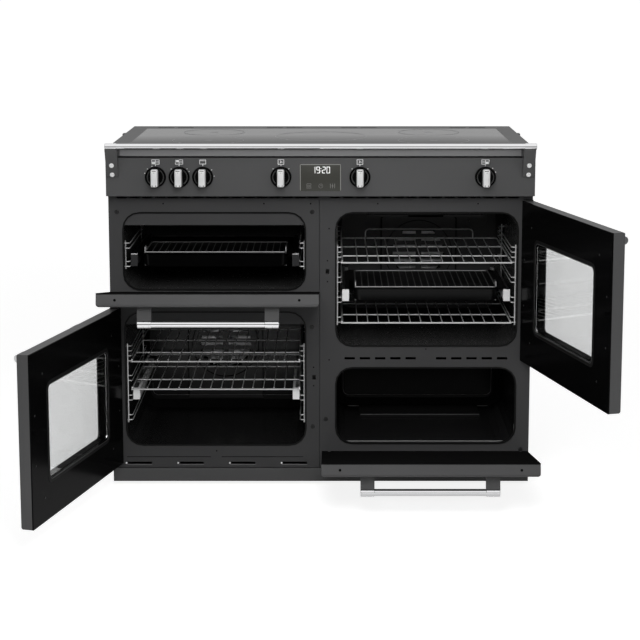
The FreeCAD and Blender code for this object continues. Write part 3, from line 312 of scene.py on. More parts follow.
# Near-black: the own colour of screws, seams and the window spacers, and painted shade in the knob notches,
# the hob's vent slots and the fan covers' pressed lines.
DARK_AND_PAINTED_SHADE = Finish("dark parts and painted shade", (0.0015, 0.0015, 0.0015), 0.7, specular=0.05, spread=0.2)
WHITE_PRINT = Finish("white print", (0.90, 0.90, 0.90), 0.5, spread=0.03)
FAINT_PRINT = Finish("faint grey print", (0.24, 0.24, 0.23), 0.5, spread=0.05)
LIT = Finish("lit digits", (0.95, 0.96, 0.95), 0.4, spread=0.02, glow=0.35)
LAMP_GLASS = Finish("pressed lamp glass", (0.020, 0.020, 0.019), 0.30, specular=0.25, spread=0.1,
                    grain=Grain.ENAMEL, grain_scale=500.0, grain_depth=0.25)

SLOT_FINISHES = {
    "anthracite_paint": PAINT, "cabinet_steel": CABINET, "black_enamel": ENAMEL, "polished_chrome": CHROME,
    "knob_chrome": KNOB_CHROME_PAINTED_WHITE, "zinc_steel": ZINC, "fan_aluminium": ALUMINIUM, "seal_rubber": RUBBER,
    "hob_ceramic": CERAMIC, "window_glass": WINDOW, "display_gloss": SMOKED, "black_plastic": PLASTIC,
}
NODE_FINISHES = {
    "side_racks": WIRE_CHROME, "heating_elements": ELEMENT, "door_fan_oven_inner": DOOR_ENAMEL,
    "door_tall_oven_inner": DOOR_ENAMEL, "door_grill_oven_inner": DROP_LINING,
    "door_slow_oven_inner": DROP_LINING, "oven_lamp": LAMP_GLASS, "hob_surround": TRIM_PAINT,
    "front_frame_left": FRAME_PAINT, "front_frame_right": FRAME_PAINT, "fan_covers": COVER_ENAMEL,
    # Runners: the painted-lit plate in the fan and tall ovens, the painted-shaded plate in the grill oven.
    "runner_slide_fan_oven": PAINTED_LIT_PLATE, "runner_slide_tall_oven": PAINTED_LIT_PLATE,
    "runner_slide_grill_oven": PAINTED_SHADED_PLATE, "door_fittings": PLASTIC,
    "liner_tall_oven": PAINTED_LIGHT_ENAMEL, "liner_grill_oven": PAINTED_LIGHT_ENAMEL,
}


# --------------------------------------------------------------- bench tools
def deselect() -> None:
    """Leave edit mode and deselect everything."""
    if bpy.context.mode != "OBJECT":
        bpy.ops.object.mode_set(mode="OBJECT")
    bpy.ops.object.select_all(action="DESELECT")


def hold(*pieces: Piece) -> Piece:
    """Select only the given pieces, and make the first one active."""
    deselect()
    for piece in pieces:
        piece.select_set(True)
    bpy.context.view_layer.objects.active = pieces[0]
    return pieces[0]


def settle(piece: Piece) -> Piece:
    """Put a piece's place, turn and scale into its mesh."""
    hold(piece)
    bpy.ops.object.transform_apply(location=True, rotation=True, scale=True)
    return piece


def turn_into_place(piece: Piece, place: Matrix) -> Piece:
    """Move a piece by a matrix and put the move into its mesh."""
    piece.matrix_world = place @ piece.matrix_world
    return settle(piece)


def join(pieces: Sequence[Piece]) -> Piece:
    """Join pieces into the first one."""
    joined = hold(*pieces)
    if len(pieces) > 1:
        bpy.ops.object.join()
    return joined


def apply(piece: Piece, kind: str, **values: object) -> Piece:
    """Add a modifier with the given values and apply it.

    Args:
        piece: The mesh to work on.
        kind: The modifier's type.
        **values: Its settings.

    Returns:
        The piece.
    """
    hold(piece)
    modifier = piece.modifiers.new(kind.title(), kind)
    for name, value in values.items():
        setattr(modifier, name, value)
    bpy.ops.object.modifier_apply(modifier=modifier.name)
    return piece


def soften(piece: Piece, width: float, segments: int = 2, angle: float = 30.0) -> Piece:
    """Bevel the edges that turn by more than an angle.

    Args:
        piece: The mesh to work on.
        width: Width of the bevel.
        segments: Faces across the bevel.
        angle: Least turn of an edge, in degrees.

    Returns:
        The piece.
    """
    return apply(piece, "BEVEL", width=width, segments=segments, limit_method="ANGLE",
                 angle_limit=math.radians(angle))


def edit(piece: Piece, chosen: Callable[[Vector, Vector], bool], work: Callable[[], None]) -> None:
    """Work in edit mode on the faces that a test picks.

    Args:
        piece: The mesh to work on.
        chosen: Test of a face's centre and normal.
        work: The operators to run.
    """
    hold(piece)
    bpy.ops.object.mode_set(mode="EDIT")
    bpy.ops.mesh.select_mode(type="FACE")
    bpy.ops.mesh.select_all(action="DESELECT")
    bpy.ops.object.mode_set(mode="OBJECT")
    for face in piece.data.polygons:
        face.select = chosen(face.center, face.normal)
    bpy.ops.object.mode_set(mode="EDIT")
    work()
    bpy.ops.object.mode_set(mode="OBJECT")


def block(low: Triple, high: Triple) -> Piece:
    """Add a block between two corners."""
    deselect()
    low_corner, high_corner = Vector(low), Vector(high)
    bpy.ops.mesh.primitive_cube_add(size=1, location=(low_corner + high_corner) / 2)
    bpy.context.object.scale = high_corner - low_corner
    return settle(bpy.context.object)


def turned(start: Triple, along: Triple, steps: Steps, sides: int = 32) -> Piece:
    """Turn a round piece from a disc by extruding and resizing its end.

    Args:
        start: Middle of the first end.
        along: Direction of the axis.
        steps: (advance, radius) of each ring, from the start.
        sides: Faces round the piece.

    Returns:
        The new piece.
    """
    deselect()
    way = Vector(along).normalized()
    at, radius = Vector(start), steps[0][1]
    bpy.ops.mesh.primitive_circle_add(vertices=sides, radius=radius, fill_type="NGON", location=at,
                                      rotation=way.to_track_quat("Z", "Y").to_euler())
    piece = bpy.context.object
    settle(piece)
    hold(piece)
    bpy.ops.object.mode_set(mode="EDIT")
    bpy.ops.mesh.select_all(action="SELECT")
    for advance, wider in steps[1:]:
        at = at + way * advance
        bpy.ops.mesh.extrude_region_move(TRANSFORM_OT_translate={"value": way * advance})
        if abs(wider - radius) > 1e-7:
            share = wider / radius
            bpy.ops.transform.resize(value=(share, share, share), center_override=at)
        radius = wider
    bpy.ops.mesh.select_all(action="SELECT")
    bpy.ops.mesh.normals_make_consistent(inside=False)
    bpy.ops.object.mode_set(mode="OBJECT")
    return piece


def rounded(points: Sequence[Vector], bend: float) -> list[Vector]:
    """Round the corners of a line.

    Args:
        points: The line's corners.
        bend: Radius of each bend.

    Returns:
        Points along the rounded line.
    """
    line = [points[0]]
    for before, corner, after in zip(points, points[1:], points[2:]):
        back, ahead = (before - corner), (after - corner)
        half_turn = back.angle(ahead) / 2
        reach = min(bend / math.tan(half_turn), back.length * 0.49, ahead.length * 0.49)
        start, end = corner + back.normalized() * reach, corner + ahead.normalized() * reach
        for step in range(5):
            t = step / 4
            line.append(start.lerp(corner, t).lerp(corner.lerp(end, t), t))
    line.append(points[-1])
    return line


def wire(points: Sequence[Triple], radius: float, bend: float = 0.0, detail: int = 2) -> Piece:
    """Bend a round wire along points.

    Args:
        points: Corners of its line.
        radius: The wire's radius.
        bend: Radius of its bends.
        detail: Bevel resolution, where 2 makes eight sides.

    Returns:
        The wire as a mesh.
    """
    deselect()
    corners = [Vector(point) for point in points]
    line = rounded(corners, bend) if bend else corners
    curve = bpy.data.curves.new("wire", "CURVE")
    curve.dimensions, curve.bevel_depth = "3D", radius
    curve.bevel_resolution, curve.use_fill_caps = detail, True
    spline = curve.splines.new("POLY")
    spline.points.add(len(line) - 1)
    for point, place in zip(spline.points, line):
        point.co = (*place, 1.0)
    piece = bpy.data.objects.new("wire", curve)
    bpy.context.scene.collection.objects.link(piece)
    hold(piece)
    bpy.ops.object.convert(target="MESH")
    piece = bpy.context.object
    bpy.ops.object.mode_set(mode="EDIT")
    bpy.ops.mesh.select_all(action="SELECT")
    bpy.ops.mesh.remove_doubles(threshold=1e-6)
    bpy.ops.mesh.normals_make_consistent(inside=False)
    bpy.ops.object.mode_set(mode="OBJECT")
    return piece


def repeated(piece: Piece, count: int, step: Triple) -> Piece:
    """Repeat a piece in a row, as one mesh."""
    return apply(piece, "ARRAY", count=count, use_relative_offset=False, use_constant_offset=True,
                 constant_offset_displace=step)


def rounded_plate(x: tuple[float, float], z: tuple[float, float], y: tuple[float, float], radius: float,
                  line: float = 0.0) -> Piece:
    """Make an upright plate with rounded corners, or only its rim.

    Args:
        x: Its left and right edges.
        z: Its lower and upper edges.
        y: Its front and back.
        radius: Radius of its corners.
        line: Width of the rim, or 0 for a whole plate.

    Returns:
        The plate.
    """
    deselect()
    bpy.ops.mesh.primitive_plane_add(size=1, location=(sum(x) / 2, y[0], sum(z) / 2),
                                     rotation=(math.pi / 2, 0, 0))
    plate = bpy.context.object
    plate.scale = (x[1] - x[0], z[1] - z[0], 1)
    settle(plate)
    apply(plate, "BEVEL", width=radius, segments=6, affect="VERTICES")
    if line:
        edit(plate, lambda centre, normal: True, lambda: (
            bpy.ops.mesh.inset(thickness=line), bpy.ops.mesh.delete(type="FACE")))
    return apply(plate, "SOLIDIFY", thickness=y[1] - y[0], offset=-1.0)


def hoop(x: float, y: float, z: float, radius: float, thick: float) -> Piece:
    """Bend an upright ring of wire that faces the front."""
    turns = (math.radians(10 * step) for step in range(37))
    path = [(x + radius * math.cos(turn), y, z + radius * math.sin(turn)) for turn in turns]
    return wire(path, thick, detail=1)


def plate_ring(places: Sequence[Triple], along: Triple, steps: Steps,
               sides: int = 20) -> Piece:
    """Turn one round piece at each place and join them.

    Args:
        places: Middle of each piece's back.
        along: Direction of their axes.
        steps: (advance, radius) of each ring.
        sides: Faces round each piece.

    Returns:
        The pieces as one mesh.
    """
    return join([turned(place, along, steps, sides) for place in places])


def dress(piece: Piece, name: str, body: str, finish: Finish,
          replaces: Iterable[str] = (), angle: float = 35.0) -> Piece:
    """Name a finished piece, shade it, give it its finish and set it on its body.

    Args:
        piece: The finished mesh.
        name: The piece's name.
        body: The body that it rides on.
        finish: Its finish.
        replaces: Nodes that it stands for.
        angle: Edges that turn by more than this stay sharp, in degrees.

    Returns:
        The piece.
    """
    hold(piece)
    piece.name = piece.data.name = name
    bpy.ops.object.shade_smooth_by_angle(angle=math.radians(angle))
    piece.data.materials.clear()
    piece.data.materials.append(finish.material())
    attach(piece, body)
    nodes = tuple(replaces)
    if nodes:
        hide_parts(*nodes)
    LOG.info("%s on %s in %s", name, body, finish.name)
    return piece


# ------------------------------------------------------------------- cooker
@dataclass
class Carcass:
    """The nodes whose shapes are kept, with their finishes."""

    finishes: dict[str, Finish] = field(default_factory=lambda: dict(NODE_FINISHES))

    def build(self) -> None:
        """Give every node its finish."""
        slots = {part["node"]: part["material_slot"] for part in frame["record"]["subparts"]}
        for name, node in frame["nodes"].items():
            finish = self.finishes.get(name) or SLOT_FINISHES[slots[name]]
            node.data.materials.clear()
            node.data.materials.append(finish.material())
        LOG.info("%d nodes dressed", len(frame["nodes"]))


@dataclass
class Knobs:
    """Six knobs: gloss skirts and chrome grips with a notch at the pointer."""

    places: dict[str, float] = field(default_factory=lambda: {
        "grill_oven": -0.422, "fan_oven": -0.3615, "grill": -0.301, "fan_oven_mode": -0.101,
        "tall_oven_mode": 0.101, "slow_oven": 0.422})
    face: float = -0.3003
    height: float = 0.819
    skirt_radius: float = 0.027
    skirt_depth: float = 0.009
    grip_width: float = 0.020
    grip_height: float = 0.046
    proud: float = 0.0447
    dot_circle: float = 0.0290
    dot_face: float = -0.2999
    ticks: dict[str, tuple[int, ...]] = field(default_factory=lambda: {
        "grill_oven": (90, 108, 135, 161), "fan_oven": (90, 46, 29, 135), "grill": (90, 39, 4),
        "fan_oven_mode": (90, 46, 134), "tall_oven_mode": (90, 46, 134), "slow_oven": (90, 50, 25)})

    def build(self) -> None:
        """Model each knob and the printed dots round it."""
        dots, dot = [], [(0.0, 0.0012), (0.0002, 0.0012), (0.0001, 0.0010)]
        for name, x in self.places.items():
            body = f"knob_{name}"
            dress(self.skirt(x), f"knob_skirt_{name}", body, SKIRT, [body])
            dress(self.disc(x), f"knob_disc_{name}", body, DISC_PAINTED_SHEEN)
            dress(self.core(x), f"knob_core_{name}", body, SKIRT)
            dress(self.grip(x), f"knob_grip_{name}", body, KNOB_CHROME_PAINTED_WHITE)
            dress(self.notch(x), f"knob_notch_{name}", body, DARK_AND_PAINTED_SHADE)
            for angle in self.ticks[name]:
                turn = math.radians(angle)
                place = (x + self.dot_circle * math.cos(turn), self.dot_face,
                         self.height + self.dot_circle * math.sin(turn))
                dots.append(turned(place, (0, -1, 0), dot, 12))
        dress(join(dots), "knob_dots", "cabinet", WHITE_PRINT)

    def skirt(self, x: float) -> Piece:
        """Return a stepped skirt."""
        radius, depth = self.skirt_radius, self.skirt_depth
        steps = [(0.0, radius * 0.94), (0.0012, radius), (depth * 0.5, radius), (depth * 0.25, radius * 0.96),
                 (0.0, radius * 0.88), (-depth * 0.12, radius * 0.84), (0.0, radius * 0.2)]
        return soften(turned((x, self.face, self.height), (0, -1, 0), steps, 56), 0.0004, 2, 25)

    def disc(self, x: float) -> Piece:
        """Return the dished disc let into the skirt."""
        radius = self.skirt_radius * 0.82
        steps = [(0.0, radius), (0.0022, radius), (-0.0006, radius * 0.96), (-0.0010, radius * 0.70)]
        return turned((x, self.face - self.skirt_depth * 0.62, self.height), (0, -1, 0), steps, 48)

    def core(self, x: float) -> Piece:
        """Return the black core that the grip's shell is set on."""
        side, top = self.grip_width / 2 + 0.0022, self.grip_height / 2
        core = block((x - side, self.face - self.proud * 0.62, self.height - top),
                     (x + side, self.face - self.skirt_depth * 0.6, self.height + top))
        return soften(core, 0.0022, 3)

    def grip(self, x: float) -> Piece:
        """Return the chromed shell: a block whose front is drawn in and softened."""
        side, top = self.grip_width / 2, self.grip_height / 2
        grip = block((x - side, self.face - self.proud, self.height - top),
                     (x + side, self.face - self.proud * 0.5, self.height + top))
        edit(grip, lambda centre, normal: normal.y < -0.9,
             lambda: bpy.ops.transform.resize(value=(0.82, 1, 0.95),
                                              center_override=(x, self.face - self.proud, self.height)))
        return soften(grip, 0.0042, 5)

    def notch(self, x: float) -> Piece:
        """Return dark blocks in the grip's pointer notch at its upper end and in two grooves at its foot:
        painted shade in these recesses.
        """
        top, near = self.height + self.grip_height / 2, self.face - self.proud
        cap = block((x - 0.0058, near + 0.0002, top - 0.0062), (x + 0.0058, near + 0.008, top - 0.0022))
        point = block((x - 0.0014, near - 0.00005, top - 0.0090), (x + 0.0014, near + 0.006, top - 0.0060))
        pieces = [soften(cap, 0.0014, 3), soften(point, 0.0008, 2)]
        foot = self.height - self.grip_height / 2
        for across in (-0.0042, 0.0042):
            groove = block((x + across - 0.0009, near - 0.00005, foot + 0.0022),
                           (x + across + 0.0009, near + 0.005, foot + 0.0078))
            pieces.append(soften(groove, 0.0006, 2))
        return join(pieces)


@dataclass
class Fascia:
    """Prints and display on the control panel."""

    face: float = -0.300
    proud: float = 0.0002
    print_height: float = 0.8575
    display: tuple[float, float, float, float] = (-0.0535, 0.0535, 0.782, 0.853)

    def build(self) -> None:
        """Model the prints and the display."""
        strokes: list[Piece] = []
        for x, cell in ((-0.422, 2), (-0.3615, 0), (0.422, 3)):
            strokes += self.cavities(x, cell)
        strokes += self.grill_sign(-0.301)
        for x in (-0.101, 0.101):
            strokes += self.fan_sign(x)
        dress(join(strokes), "knob_signs", "cabinet", WHITE_PRINT)
        self.build_display()

    def stroke(self, x0: float, x1: float, z0: float, z1: float, face: float | None = None) -> Piece:
        """Return a thin printed bar on the face."""
        near = self.face if face is None else face
        return block((min(x0, x1), near - self.proud, min(z0, z1)), (max(x0, x1), near, max(z0, z1)))

    def outline(self, x0: float, x1: float, z0: float, z1: float, line: float,
                face: float | None = None) -> list[Piece]:
        """Return the four bars of a printed frame."""
        return [self.stroke(x0, x1, z0, z0 + line, face), self.stroke(x0, x1, z1 - line, z1, face),
                self.stroke(x0, x0 + line, z0, z1, face), self.stroke(x1 - line, x1, z0, z1, face)]

    def sign_frame(self, x: float, width: float, height: float, line: float) -> list[Piece]:
        """Return the printed frame of the sign above a knob."""
        z = self.print_height
        return self.outline(x - width / 2, x + width / 2, z - height / 2, z + height / 2, line)

    def cavities(self, x: float, cell: int) -> list[Piece]:
        """Return the sign of four ovens with one of them filled."""
        width, height, line = 0.0205, 0.0125, 0.0014
        z = self.print_height
        marks = self.sign_frame(x, width, height, line)
        marks.append(self.stroke(x - line / 2, x + line / 2, z - height / 2, z + height / 2))
        marks.append(self.stroke(x - width / 2, x + width / 2, z - line / 2, z + line / 2))
        left = x - width / 2 if cell in (0, 2) else x
        low = z if cell in (0, 1) else z - height / 2
        marks.append(self.stroke(left, left + width / 2, low, low + height / 2))
        return marks + self.stem(x)

    def stem(self, x: float) -> list[Piece]:
        """Return the short pointer under a sign."""
        return [self.stroke(x - 0.0008, x + 0.0008, self.print_height - 0.0098, self.print_height - 0.0055)]

    def grill_sign(self, x: float) -> list[Piece]:
        """Return a frame with a zigzag under its top."""
        width, height, line = 0.0170, 0.0120, 0.0014
        z = self.print_height
        marks = self.sign_frame(x, width, height, line)
        path = [(x - 0.005 + 0.002 * step, self.face - self.proud / 2, z + (0.003 if step % 2 else 0.0008))
                for step in range(6)]
        marks.append(wire(path, self.proud / 2 * 0.9, detail=0))
        marks.append(self.stroke(x - width / 2, x + width / 2, z + 0.0028, z + 0.0036))
        return marks + self.stem(x)

    def fan_sign(self, x: float) -> list[Piece]:
        """Return a frame with a ring and three blades."""
        width, height, line = 0.0160, 0.0135, 0.0013
        z = self.print_height
        marks = self.sign_frame(x, width, height, line)
        for step in range(3):
            blade = block((x, self.face - self.proud, z), (x + 0.0042, self.face, z + 0.0014))
            place = Matrix.Translation((x, 0, z)) @ Matrix.Rotation(math.radians(120 * step + 20), 4, "Y")
            marks.append(turn_into_place(blade, place @ Matrix.Translation((-x, 0, -z))))
        return marks + self.stem(x)

    def segments(self, lit: str, x: float, z: float) -> list[Piece]:
        """Return a digit of lit bars, from its lower left corner.

        Args:
            lit: Letters of its lit bars, from a, the top, round to g, the middle.
            x: Left edge.
            z: Lower edge.

        Returns:
            The bars.
        """
        wide, tall, line, gap = 0.0087, 0.0170, 0.0015, 0.0003
        half = tall / 2
        bars = {"a": (line, tall - line, wide - line, tall), "d": (line, 0, wide - line, line),
                "g": (line, half - line / 2, wide - line, half + line / 2),
                "b": (wide - line, half + gap, wide, tall - gap), "c": (wide - line, gap, wide, half - gap),
                "f": (0, half + gap, line, tall - gap), "e": (0, gap, line, half - gap)}
        face = self.face - 0.0008
        return [block((x + bars[bar][0], face - 0.0001, z + bars[bar][1]),
                      (x + bars[bar][2], face + 0.0001, z + bars[bar][3])) for bar in lit]

    def build_display(self) -> None:
        """Model the display's window, frame line, digits and touch signs."""
        x0, x1, z0, z1 = self.display
        face = self.face - 0.0008
        panel = soften(block((x0, face + 0.0001, z0), (x1, self.face + 0.0001, z1)), 0.0003, 2)
        dress(panel, "display_window", "cabinet", SMOKED, ["display_module"])
        front = face + 0.0001
        line = 0.0019
        bars = [self.stroke(x0 + 0.001, x1 - 0.001, z1 - 0.001 - line, z1 - 0.001, front),
                self.stroke(x0 + 0.001, x0 + 0.001 + line, z0 + 0.002, z1 - 0.001, front),
                self.stroke(x1 - 0.001 - line, x1 - 0.001, z0 + 0.002, z1 - 0.001, front)]
        low = 0.7958
        left, middle, right = -0.0296, 0.0009, 0.0309
        bars += self.outline(left - 0.0055, left + 0.0055, low - 0.0060, low + 0.0060, 0.0007, front)
        bars += self.outline(left - 0.0030, left + 0.0030, low - 0.0028, low + 0.0022, 0.0007, front)
        for x in (right - 0.0055, right, right + 0.0055):
            bars.append(self.stroke(x - 0.00045, x + 0.00045, low - 0.0060, low + 0.0060, front))
        bars.append(self.stroke(right - 0.0026, right + 0.0026, low - 0.00045, low + 0.00045, front))
        ring = [(middle + 0.0052 * math.cos(t), front - self.proud / 2, low + 0.0052 * math.sin(t))
                for t in (math.radians(15 * step) for step in range(25))]
        bars.append(wire(ring, 0.00035, detail=0))
        bars += [self.stroke(middle - 0.0004, middle + 0.0004, low, low + 0.0035, front),
                 self.stroke(middle, middle + 0.003, low - 0.0004, low + 0.0004, front)]
        dress(join(bars), "display_signs", "cabinet", FAINT_PRINT)
        foot = 0.8284
        digits = self.segments("bc", -0.0219, foot) + self.segments("abcdfg", -0.0103, foot)
        digits += self.segments("abdeg", 0.0043, foot) + self.segments("abcdef", 0.0157, foot)
        for z in (foot + 0.0050, foot + 0.0112):
            digits.append(block((0.0001, face - 0.0001, z), (0.0021, face + 0.0001, z + 0.0020)))
        dress(join(digits), "display_digits", "cabinet", LIT)


@dataclass
class Rail:
    """Towel rail and the screws of its brackets."""

    y: float = -0.328
    z: float = 0.900
    half_length: float = 0.547
    radius: float = 0.00725
    cap_radius: float = 0.0085
    cap_length: float = 0.030

    def build(self) -> None:
        """Model the rail and the screws."""
        groove = 0.0006
        wide = self.cap_radius
        cap = [(0.0, wide - 0.001), (0.001, wide), (self.cap_length - 0.003, wide), (0.0, wide - groove),
               (0.001, wide - groove), (0.0, wide), (0.001, wide), (0.0, self.radius)]
        advance = [step for step, _ in cap]
        radii = [radius for _, radius in cap]
        back = list(zip([0.0] + advance[:0:-1], radii[::-1]))
        steps = cap + [(2 * (self.half_length - self.cap_length) + 0.002, self.radius)] + back[1:]
        rail = turned((-self.half_length, self.y, self.z), (1, 0, 0), steps, 40)
        dress(rail, "towel_rail_bar", "cabinet", CHROME, ["towel_rail"])
        steps = [(0.0, 0.006), (0.0030, 0.006), (0.0008, 0.0050), (0.0, 0.0024), (-0.0008, 0.0022)]
        slope = (0.0, -0.918, -0.396)
        rows = ((0.851, -0.31735), (0.826, -0.3066))
        places = [(x, y + 0.0006, z) for x in (-0.532, 0.532) for z, y in rows]
        dress(plate_ring(places, slope, steps, 24), "rail_bracket_screws", "cabinet",
              PAINTED_LIT_PLATE)


@dataclass
class Hob:
    """Ceramic glass with its cooking zones."""

    half_width: float = 0.500
    near: float = -0.290
    far: float = 0.205
    top: float = 0.895
    zones: tuple[tuple[float, float, float], ...] = (
        (-0.300, -0.120, 0.095), (-0.300, 0.105, 0.085), (0.0, -0.010, 0.125), (0.300, -0.120, 0.095),
        (0.300, 0.105, 0.085))

    def build(self) -> None:
        """Model the glass and the printed zones."""
        skin = 0.0001
        low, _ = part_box("hob_glass")
        glass = block((-self.half_width, self.near, low.z), (self.half_width, self.far, self.top - skin))
        dress(soften(glass, 0.0012, 3), "hob_glass_plate", "cabinet", CERAMIC, ["hob_glass"])
        marks = []
        for x, y, radius in self.zones:
            marks.append(self.ring(x, y, radius, 0.0010))
            skin_top = self.top - 0.00002
            marks.append(block((x - 0.010, y - 0.0012, skin_top - 0.0001), (x + 0.010, y + 0.0012, skin_top)))
            for across in (-1, 1):
                for deep in (-1, 1):
                    corner = (x + across * radius * 0.72, y + deep * radius * 0.72)
                    marks.append(block((corner[0] - 0.004, corner[1] - 0.0014, skin_top - 0.0001),
                                       (corner[0] + 0.004, corner[1] + 0.0014, skin_top)))
        dress(join(marks), "hob_zone_marks", "cabinet", ZONE_PRINT)
        _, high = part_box("hob_surround")
        y, slots = (self.far + high.y) / 2, []
        for middle in (-0.421, -0.1075, 0.1075, 0.421):
            for edge in (-0.028, 0.028):
                x = middle + edge
                slots.append(block((x - 0.023, y - 0.0055, 0.8928), (x + 0.023, y + 0.0055, 0.8931)))
        dress(join(slots), "hob_vent_shades", "cabinet", DARK_AND_PAINTED_SHADE)
        # A light grey upright strip: painted light for the hob trim's up-facing front lip.
        strip = block((-0.513, -0.2990, 0.8725), (0.513, -0.2978, 0.8880))
        dress(soften(strip, 0.0004, 2), "hob_front_strip", "cabinet", PAINTED_LIT_STRIP)

    def ring(self, x: float, y: float, radius: float, line: float) -> Piece:
        """Return a flat printed ring."""
        deselect()
        low = self.top - 0.00012
        bpy.ops.mesh.primitive_circle_add(vertices=64, radius=radius, fill_type="NGON", location=(x, y, low))
        ring = settle(bpy.context.object)
        edit(ring, lambda centre, normal: True, lambda: (
            bpy.ops.mesh.inset(thickness=line), bpy.ops.mesh.delete(type="FACE")))
        return apply(ring, "SOLIDIFY", thickness=0.0001, offset=1.0)


@dataclass
class Rack:
    """Wire side racks of one oven."""

    walls: tuple[float, float]
    levels: tuple[float, ...]
    near: float = -0.250
    far: float = 0.100
    stand: float = 0.006
    rung_stand: float = 0.017
    upright_radius: float = 0.0019
    rung_radius: float = 0.0014
    gap: float = 0.0133
    stud: Steps = ((0.0, 0.0028), (0.0015, 0.0028), (0.0005, 0.0018), (0.004, 0.0018))

    def build(self) -> list[Piece]:
        """Return the wires of both racks."""
        wires = []
        low, high = self.levels[0] - self.gap, self.levels[-1] + self.gap
        for wall, inward in zip(self.walls, (1, -1)):
            x, x_rung = wall + inward * self.stand, wall + inward * self.rung_stand
            for y in (self.near, self.far):
                wires.append(wire([(x, y, low), (x, y, high)], self.upright_radius))
                for z in (low + self.gap / 2, high - self.gap / 2):
                    wires.append(turned((wall, y, z), (inward, 0, 0), self.stud, 12))
            for level in self.levels:
                for edge in (-1, 1):
                    z = level + edge * self.gap / 2
                    wires.append(wire([(x, self.near, z), (x_rung, self.near, z), (x_rung, self.far, z),
                                       (x, self.far, z)], self.rung_radius, bend=0.006))
        return wires


@dataclass
class Shelf:
    """A wire shelf."""

    name: str
    body: str
    centre: float
    height: float
    fence: bool = False
    half_width: float = 0.223
    side: float = 0.220
    near: float = -0.259
    far: float = 0.110
    front_radius: float = 0.0023
    side_radius: float = 0.0021
    cross_radius: float = 0.0019
    wire_radius: float = 0.0013
    pitch: float = 0.0278
    wires: int = 14
    cross_places: tuple[float, float] = (-0.160, -0.015)

    def build(self) -> None:
        """Model the shelf's wires and join them."""
        x, z = self.centre, self.height
        rails = z + 0.00455
        long_wires = z + 0.0041
        crosses = long_wires - self.wire_radius - self.cross_radius
        loop = [(x - self.side, self.near, rails), (x - self.side, self.far, rails),
                (x + self.side, self.far, rails), (x + self.side, self.near, rails)]
        parts = [wire([(x - self.half_width, self.near, z), (x + self.half_width, self.near, z)],
                      self.front_radius, detail=4),
                 wire(loop, self.side_radius, bend=0.008)]
        for y in self.cross_places:
            parts.append(wire([(x - self.side + 0.0006, y, crosses), (x + self.side - 0.0006, y, crosses)],
                              self.cross_radius))
        first = x - (self.wires - 1) / 2 * self.pitch
        parts.append(repeated(wire([(first, self.near, long_wires), (first, self.far, long_wires)],
                                   self.wire_radius, detail=1), self.wires, (self.pitch, 0, 0)))
        if self.fence:
            edge, top = 0.152, rails + 0.026
            path = [(x - edge, self.far, rails), (x - edge, self.far, top),
                    (x + edge, self.far, top), (x + edge, self.far, rails)]
            parts.append(wire(path, self.cross_radius * 0.92, bend=0.012))
        dress(join(parts), f"wires_{self.name}", self.body, WIRE_CHROME, [self.name])


